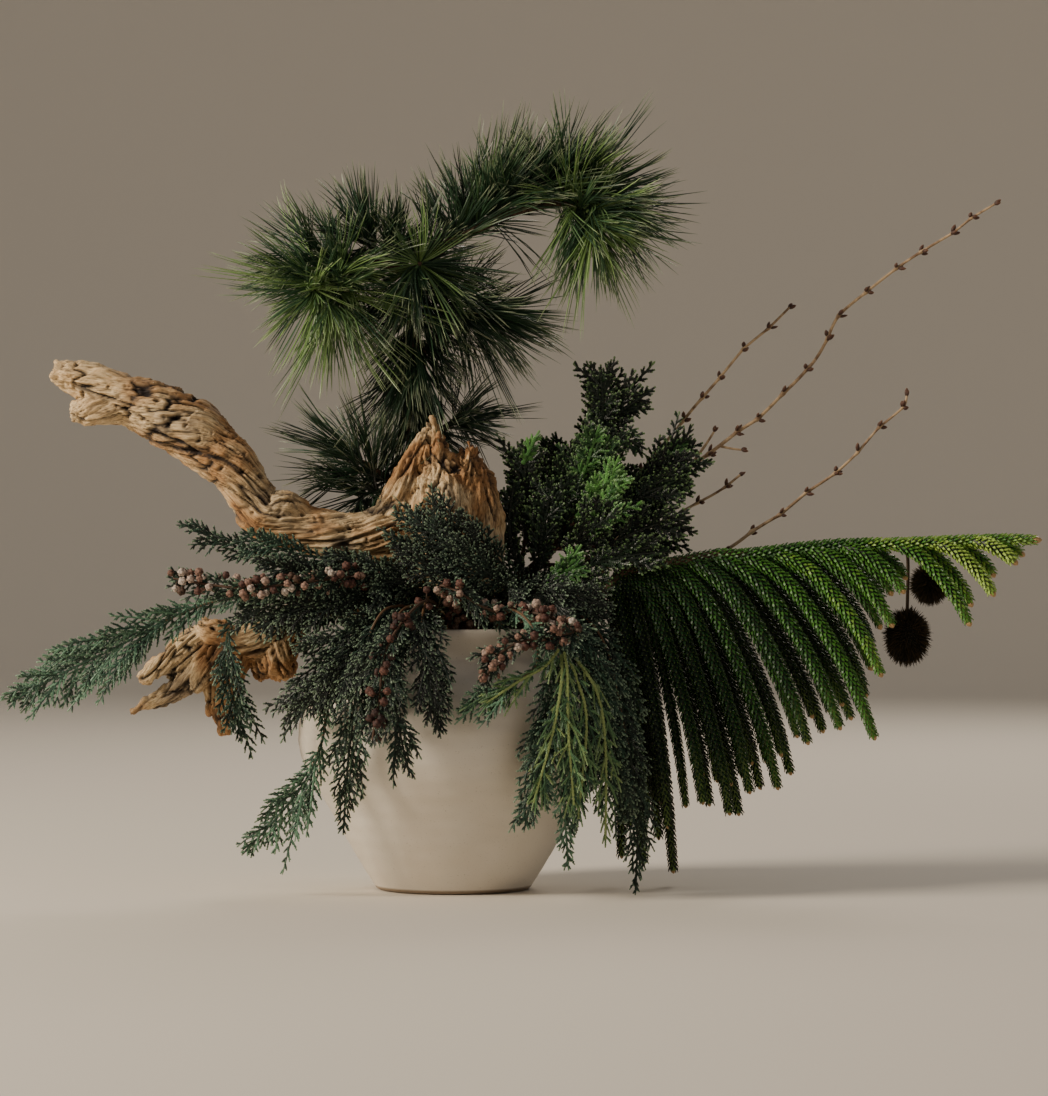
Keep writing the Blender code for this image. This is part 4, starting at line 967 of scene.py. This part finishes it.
def makeCones(blue):
    material = coneMaterial()
    for name, (mouth, route, count, first, tones) in coneTwigs.items():
        path = curveThrough(entry(*mouth) + route, 1.0)
        chunks = [rod(path, np.linspace(1.4, 0.9, len(path)), 8, woodTone)]
        at = ((first + (1 - first) * np.sort(rng.random(count)) ** 0.9) * (len(path) - 1)).astype(int)
        tangent, facing = framesAlong(path)
        across = np.cross(facing, tangent)
        turn = np.arange(count)[:, None] * 2.4
        out = np.cos(turn) * across[at] + np.sin(turn) * facing[at] + 0.3 * rng.normal(size=(count, 3))
        radii = coneLook["radius"] * rng.uniform(0.8, 1.12, count)
        reach = (radii + rng.uniform(0.3, 6.0, count))[:, None]
        centres = path[at] + unit(out) * reach
        chunks.append(coneBalls(centres, radii, leafTone * rng.uniform(*tones, count)))
        u = np.linspace(0, 1, 3)
        stalks = path[at][:, None] + u[None, :, None] * (centres - path[at])[:, None]
        wide = np.full((count, 3), 0.55)
        side = np.broadcast_to(tangent[at][:, None], stalks.shape)
        chunks.append(sweep(stalks, side, wide, wide, 5, np.full(count, woodTone),
                            np.broadcast_to(u, wide.shape)))
        makePiece(camel(name), chunks, material, [name])
        leafy = [(*point, 9 if 0 < number < len(route) - 1 else 4) for number, point in enumerate(route)]
        makePiece(camel(name) + "Leaves", growSpray(leafy, "cypress", (0.1, 0.6)), blue,
                  smooth=False)


# Bare twigs with buds

twigLook = {"radius": (2.1, 0.9), "spacing": 25.0, "pale": "#b39a78", "dark": "#6d543c", "bud": "#33201a"}
twigRoutes = {  # place in the mouth, route; the buds start at a fixed height
    "twig_upper": ((20, 40), [(88, 62, 262), (162, 80, 335), (191, 76, 373), (224, 72, 409), (257, 68, 440)]),
    "twig_long": ((38, 38), [(104, 56, 248), (168, 64, 309), (223, 56, 348), (270, 48, 391), (293, 42, 431),
                             (335, 34, 468), (383, 24, 498), (409, 18, 515)]),
    "twig_short": ((52, 34), [(112, 46, 238), (166, 50, 279), (199, 48, 298), (218, 46, 311)]),
    "twig_lower": ((60, 24), [(118, 38, 226), (199, 44, 251), (244, 42, 279), (288, 36, 312), (318, 32, 341),
                              (339, 28, 362), (343, 28, 371)]),
}
sideTwiglets = {  # from a place on the twig to its tip
    "twig_long": [[(182, 62, 320, 1.2), (192, 60, 334, 1.0), (199, 59, 345, 0.8)],
                  [(203, 59, 333, 1.1), (212, 56, 331, 0.9), (220, 54, 330, 0.8)]],
}


def twigMaterial():  # smooth young bark, mottled where the light bleaches it, with dark buds
    material, tree, shader = newMaterial("twigBarkSmooth", 0.6, 1.45)
    u, v = leafPlace(tree)
    mottle = noiseTexture(tree, objectPlace(tree), 160.0, 4.0)
    bark = colourRamp(tree, mottle, [(0.36, twigLook["dark"]), (0.6, twigLook["pale"])])
    bud = colourRamp(tree, v, [(0.1, twigLook["bud"]), (0.8, "#5a3a2a"), (1.0, "#8a6a4a")])
    connect(tree, shader, {"Base Color": mixColours(tree, lessThan(tree, u, 0.5), bark, bud)})
    return material


def buds(base, aim, length, radius):
    u = np.array([0.0, 0.15, 0.4, 0.7, 0.9, 1.0])
    paths = base[:, None] + (length[:, None] * u)[..., None] * aim[:, None]
    widths = radius[:, None] * np.array([0.45, 0.8, 1.0, 0.8, 0.4, 0.08])
    facing = np.broadcast_to(unit(np.cross(aim, [0.3, 0.2, 0.9]))[:, None], paths.shape)
    return sweep(paths, facing, widths, widths, 7, np.full(len(base), 0.1), np.broadcast_to(u, widths.shape))


def makeTwigs():
    material = twigMaterial()
    for name, (mouth, route) in twigRoutes.items():
        path = curveThrough(entry(*mouth) + route, 1.0)
        places = np.arange(0, len(path), 1.0)
        bare = np.searchsorted(path[:, 2], 232)
        nodes = np.arange(bare, len(path) - 3, twigLook["spacing"])
        nodes = np.clip(nodes + rng.uniform(-4, 4, len(nodes)), 0, len(path) - 2).astype(int)
        wander = np.zeros(len(path))
        wander[nodes] = rng.choice([-1, 1], len(nodes)) * 1.1
        bends = np.interp(places, np.r_[0, nodes, len(path)], np.r_[0, wander[nodes], 0])
        path = path + bends[:, None] * np.array([-0.6, 0.3, 0.75])  # the twig turns a little at each bud
        swell = sum(np.exp(-((places - n) / 2.2) ** 2) for n in nodes)
        radii = np.interp(places, [0, len(path)], twigLook["radius"]) * (1 + 0.5 * swell)
        chunks = [rod(path, radii, 10, 0.95)]
        tangent, facing = framesAlong(path)
        across = np.cross(facing, tangent)
        base, aim = [], []
        for n in nodes:
            lean = rng.uniform(0, 2 * np.pi)
            for k in range(rng.integers(2, 5)):
                out = np.cos(lean + 1.9 * k) * across[n] + np.sin(lean + 1.9 * k) * facing[n]
                base.append(path[n] + out * radii[n] * 0.6 + tangent[n] * rng.uniform(-1.5, 1.5))
                aim.append(unit(out * rng.uniform(0.6, 1.1) + tangent[n]))
        for twiglet in sideTwiglets.get(name, []):
            side = curveThrough(twiglet, 1.0)
            chunks.append(rod(side[:, :3], side[:, 3], 8, 0.95))
            base += [side[-2, :3]] * 3
            aim += [unit(unit(side[-1, :3] - side[-4, :3]) + 0.5 * v) for v in rng.normal(size=(3, 3)) * 0.6]
        base += [path[-2], path[-2]]
        aim += [unit(tangent[-1] + 0.25 * rng.normal(size=3)) for _ in range(2)]
        base, aim = np.array(base), np.array(aim)
        chunks.append(buds(base, aim, rng.uniform(4.0, 7.0, len(base)), rng.uniform(1.2, 1.8, len(base))))
        makePiece(camel(name), chunks, material, [name])


# Norfolk Island pine frond

frondLook = {
    "radius": 5.4, "leafSpacing": 0.36, "leafLength": 3.5, "leafWidth": 1.12,
    "tones": ["#08160a", "#1a3d18", "#477b2a", "#a3c058"], "tip": "#7f9f4a", "twig": "#b08f62",
}
frondAxis = [(113, 5, 224.2, 4.5), (121, 3.4, 230, 4.4), (130, 2, 237, 4.3), (164, 0, 244, 4),
             (197, -3, 250, 4),
             (221, -6, 250, 4.8), (279, -12, 256, 5), (337, -18, 258, 4.8), (384, -24, 260, 4.6),
             (412, -27, 261, 4.2),
             (433, -30, 261, 3.2)]
frondBranchlets = [  # x where it leaves the axis, then x and z of its tip
    (119, 127, 22), (121, 142, 20), (123, 155, 36), (126, 160, 48), (129, 166, 11), (132, 186, 66),
    (136, 193, 62), (141, 206, 58), (146, 215, 55), (151, 221, 74), (156, 231, 75), (162, 242, 77),
    (170, 254, 86), (179, 264, 111), (188, 278, 118), (198, 288, 122), (208, 299, 128), (219, 313, 115),
    (230, 309, 151), (241, 318, 162), (253, 314, 184), (266, 326, 199), (278, 322, 216), (290, 334, 224),
    (304, 338, 234), (330, 383, 200), (345, 387, 214), (358, 400, 222), (372, 403, 236), (386, 416, 245),
    (399, 424, 251),
]


def awlLeaves(path, radii, tone, low, high):  # leaves in a spiral that hug the twig
    tangent, facing = framesAlong(path)
    across = np.cross(facing, tangent)
    places = np.arange(0.5, len(path) - 1.5, frondLook["leafSpacing"])
    at = places.astype(int)
    turn = (np.arange(len(places)) * goldenTurn)[:, None]
    out = np.cos(turn) * across[at] + np.sin(turn) * facing[at]
    radius = radii[at][:, None, None]
    u = np.array([0.0, 0.35, 0.75, 1.0])
    grow = np.array([0.5, 0.82, 1.0, 0.9]) + 0.05 * rng.normal(size=(len(places), 1)) * u
    length = frondLook["leafLength"] * rng.uniform(0.85, 1.15, (len(places), 1))
    rise = (length * u)[..., None] * tangent[at][:, None]
    paths = path[at][:, None] + radius * grow[..., None] * out[:, None] + rise
    thin = np.array([0.9, 1.0, 0.66, 0.12])
    widths = frondLook["leafWidth"] * thin * (radius[:, :, 0] / frondLook["radius"])
    heights = widths * 0.7
    leafFacing = np.broadcast_to(out[:, None], paths.shape)
    shade = leafTone * np.clip(tone + rng.uniform(low, high, len(places)), 0, 1)
    return sweep(paths, leafFacing, widths, heights, 3, shade, np.broadcast_to(u, widths.shape))


def makeFrond():
    material = foliageMaterial("norfolkLeafWaxy", frondLook["tones"], frondLook["tip"], 0.75, 0.46,
                               frondLook["twig"])
    axis = curveThrough(frondAxis, 1.0)
    draw = random.Random(7)
    count = len(frondBranchlets)
    ropes = []
    for number, (startX, tipX, tipZ) in enumerate(frondBranchlets):
        side = -1 if number % 2 else 1
        ropes.append((startX, tipX, tipZ, side * (27 - 14 * number / count) * draw.uniform(0.8, 1.1), 1.0))
    for first, second in zip(ropes[:24], ropes[1:24]):  # shorter ones that hang inside the curtain
        startX, tipX, tipZ = ((a + b) / 2 for a, b in zip(first[:3], second[:3]))
        ropes.append((startX, tipX - 2, tipZ + 0.12 * (240 - tipZ), 0.35 * second[3], 0.86))
    groups = [[], [], [], [], [], []]
    for startX, tipX, tipZ, spread, size in ropes:
        t = (startX - ropes[0][0]) / (ropes[count - 1][0] - ropes[0][0])
        x, y, z = axis[np.abs(axis[:, 0] - startX).argmin(), :3]
        reach, drop = tipX - x, z - tipZ
        radius = frondLook["radius"] * size
        path = curveThrough([
            (x, y, z, radius - 0.8), (x + 0.34 * reach, y + 0.55 * spread, z - 0.16 * drop, radius),
            (x + 0.63 * reach, y + 0.88 * spread, z - 0.44 * drop, radius),
            (x + 0.86 * reach, y + spread, z - 0.74 * drop, radius - 0.4),
            (x + reach, y + 0.97 * spread, z - drop, radius - 1.6)], 1.0)
        # painted light and shade: ropes near the vase, shaded by the heap of foliage, are darker, those towards
        # the frond's end and those on the front side lighter, with a random spread
        tone = -0.02 + 0.85 * t ** 0.8 + (0.1 if spread < 0 else -0.06) + draw.uniform(-0.12, 0.14)
        group = groups[np.searchsorted([0.03, 0.07, 0.13, 0.22, 0.4], t)]
        # the rope's core takes the darkest tone, as painted shade between the leaves
        group.append(rod(path[:, :3], path[:, 3] * 0.62, 6, 0.05))
        group.append(awlLeaves(path[:, :3], path[:, 3], tone, -0.1, 0.16))
        tip = path[-4:, :3]
        young = min(2 * t, 1)  # the buds are larger towards the branch's tip
        group.append(buds(tip[-2:-1], unit(tip[-1:] - tip[:1]), np.array([3.4 + 1.4 * young]),
                          np.array([1.5 + 1.0 * young])))
        group[-1]["uv"][:, 0] = woodTone
    # the axis core takes a near-darkest tone, as painted shade between the leaves
    axisChunks = [rod(axis[:, :3], axis[:, 3] * 0.55, 8, 0.1)]
    axisChunks.append(buds(axis[-4:-3, :3], unit(axis[-1:, :3] - axis[-4:-3, :3]), np.array([7.5]),
                           np.array([3.0])))
    axisChunks[-1]["uv"][:, 0] = woodTone
    # painted light: the axis leaves are lighter towards the frond's end
    ends = np.clip((axis[:, 0] - 190) / 240, 0, 1)
    for start, stop in ((0, 90), (90, 200), (200, len(axis))):
        part = slice(start, min(stop + 6, len(axis)))
        tone = 0.3 + 0.55 * ends[start:stop].mean()
        axisChunks.append(awlLeaves(axis[part, :3], axis[part, 3] + 0.6, tone, -0.1, 0.2))
    makePiece("frondAxis", axisChunks, material, ["norfolk_frond"], smooth=False)
    for number, group in enumerate(groups):
        makePiece(f"frondRopes{number + 1}", group, material, ["norfolk_frond"], smooth=False)


bristleLook = {"spikes": 1200, "length": 7.5, "width": 0.42, "tones": ["#121109", "#272114", "#4b3d25"]}
bristleCones = {  # centre, radii, stalk
    "bristle_cone_low": ((343, 26, 188), (17, 17, 21), [
        (338, -14, 257), (340, 2, 254), (343, 20, 242), (343, 26, 206)]),
    "bristle_cone_high": ((360, 24, 228), (14, 14, 15), [
        (356, -18, 257), (358, 2, 256), (360, 20, 250), (360, 24, 238)]),
}


def makeBristleCones():
    material = foliageMaterial("bristleConeDry", bristleLook["tones"], "#5b4d33", 0.7, 0.7, "#3a2c1e")
    for name, (centre, radii, stalk) in bristleCones.items():
        out = fibonacciSphere(bristleLook["spikes"])
        radii = np.array(radii, float)
        aim = unit(out + 0.35 * down + 0.12 * rng.normal(size=out.shape))
        u = np.array([0.0, 0.5, 1.0])
        length = bristleLook["length"] * rng.uniform(0.7, 1.15, len(out))
        base = np.array(centre) + out * (radii - 5.0)
        paths = base[:, None] + (length[:, None] * u)[..., None] * aim[:, None]
        widths = bristleLook["width"] * np.broadcast_to([1.6, 1.0, 0.12], (len(out), 3))
        facing = np.broadcast_to(unit(np.cross(aim, [0.2, 0.9, 0.3]))[:, None], paths.shape)
        tone = leafTone * rng.random(len(out))
        core = curveThrough([
            (*(np.array(centre) + [0, 0, s * (radii[2] - 4.5)]), (radii[0] - 4.0) * max(1 - s * s, 0.02) ** 0.5)
            for s in np.linspace(-1, 1, 9)], 1.5)
        path = curveThrough(stalk, 1.0)
        makePiece(camel(name), [
            sweep(paths, facing, widths, widths, 3, tone, np.broadcast_to(u, widths.shape)),
            rod(core[:, :3], np.maximum(core[:, 3], 0.5), 16, 0.2), rod(path, 1.3, 8, 0.95),
        ], material, [name], smooth=False)


# Studio: a round cove, a soft key from the upper left, a weak fill and a light from behind

studioLook = {
    "floor": "#dad2c4", "flat": 4.0, "bend": 3.0, "height": 5.0, "floorGap": 0.0003, "arcSteps": 12,
    "turnSteps": 96,
    "sky": "#e6e6ea", "skyStrength": 0.26, "aim": (0.03, 0, 0.27),
    "lights": {  # place, size, power, colour
        "key": ((-2.7, -1.15, 1.65), 1.15, 140.0, "#fff1de"),
        "fill": ((2.6, -2.4, 1.3), 2.4, 6.0, "#e6ecff"),
        "rim": ((0.9, 2.4, 1.9), 1.2, 26.0, "#fff4e6"),
    },
}
cameraLook = {"place": (0.053, -2.9, 0.255), "lens": 127.0, "sensor": 36.0}


def makeCove():
    material, _, shader = newMaterial("paperSweepMatte", 0.9, 1.45)  # a matte sheet with no shine of its own
    shader.inputs["Base Color"].default_value = hexColour(studioLook["floor"])
    flat, bend, gap = studioLook["flat"], studioLook["bend"], studioLook["floorGap"]
    profile = [(0.0, -gap), (flat, -gap)]
    for step in range(1, studioLook["arcSteps"] + 1):
        angle = math.radians(90 * step / studioLook["arcSteps"])
        profile.append((flat + bend * math.sin(angle), bend - bend * math.cos(angle)))
    profile.append((flat + bend, studioLook["height"]))
    bm = bmesh.new()
    line = [bm.verts.new((r, 0, z)) for r, z in profile]
    edges = [bm.edges.new(pair) for pair in zip(line, line[1:])]
    bmesh.ops.spin(bm, geom=line + edges, cent=(0, 0, 0), axis=(0, 0, 1), angle=2 * math.pi,
                   steps=studioLook["turnSteps"], use_merge=True)
    bmesh.ops.remove_doubles(bm, verts=bm.verts, dist=1e-5)
    mesh = bpy.data.meshes.new("cove")
    bm.to_mesh(mesh)
    bm.free()
    mesh.polygons.foreach_set("use_smooth", np.ones(len(mesh.polygons), bool))
    mesh.materials.append(material)
    addObject("cove", mesh)


def makeLights():
    world = bpy.data.worlds.new("studio")
    bpy.context.scene.world = world
    world.use_nodes = True
    sky = world.node_tree.nodes["Background"]
    sky.inputs["Color"].default_value = hexColour(studioLook["sky"])
    sky.inputs["Strength"].default_value = studioLook["skyStrength"]
    for name, (place, size, power, colour) in studioLook["lights"].items():
        light = bpy.data.lights.new(name, "AREA")
        light.shape = "DISK"
        light.size = size
        light.energy = power
        light.color = hexColour(colour)[:3]
        lamp = addObject(name, light)
        lamp.location = place
        lamp.rotation_euler = (Vector(studioLook["aim"]) - Vector(place)).to_track_quat("-Z", "Y").to_euler()


def makeCamera():
    camera = addObject("camera", bpy.data.cameras.new("camera"))
    camera.data.sensor_width = cameraLook["sensor"]
    camera.data.lens = cameraLook["lens"]
    camera.location = cameraLook["place"]
    camera.rotation_euler = (math.pi / 2, 0, 0)
    bpy.context.scene.camera = camera


print("loaded", len(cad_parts), "nodes")
makeCamera()
makeCove()
makeLights()
makeVase()
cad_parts["kenzan"].data.materials.clear()
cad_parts["kenzan"].data.materials.append(kenzanMaterial())
print("vase done")
wood = driftwoodMaterial()
makeDriftwood("driftwoodArm", "driftwood_arm", driftArm, stumpSplinters, wood)
makeDriftwood("driftwoodRoot", "driftwood_root", driftRoot, [], wood)
print("driftwood done")
makePine()
makeStems()
print("pine done")
blue = foliageMaterial("cypressScaleWaxy", ["#060e0a", "#102218", "#294636", "#648a6e"], "#93ad8f", 0.82, 0.5)
makeSprays(blue)
print("sprays done")
makeCones(blue)
makeTwigs()
print("cones and twigs done")
makeFrond()
makeBristleCones()
print("frond done")
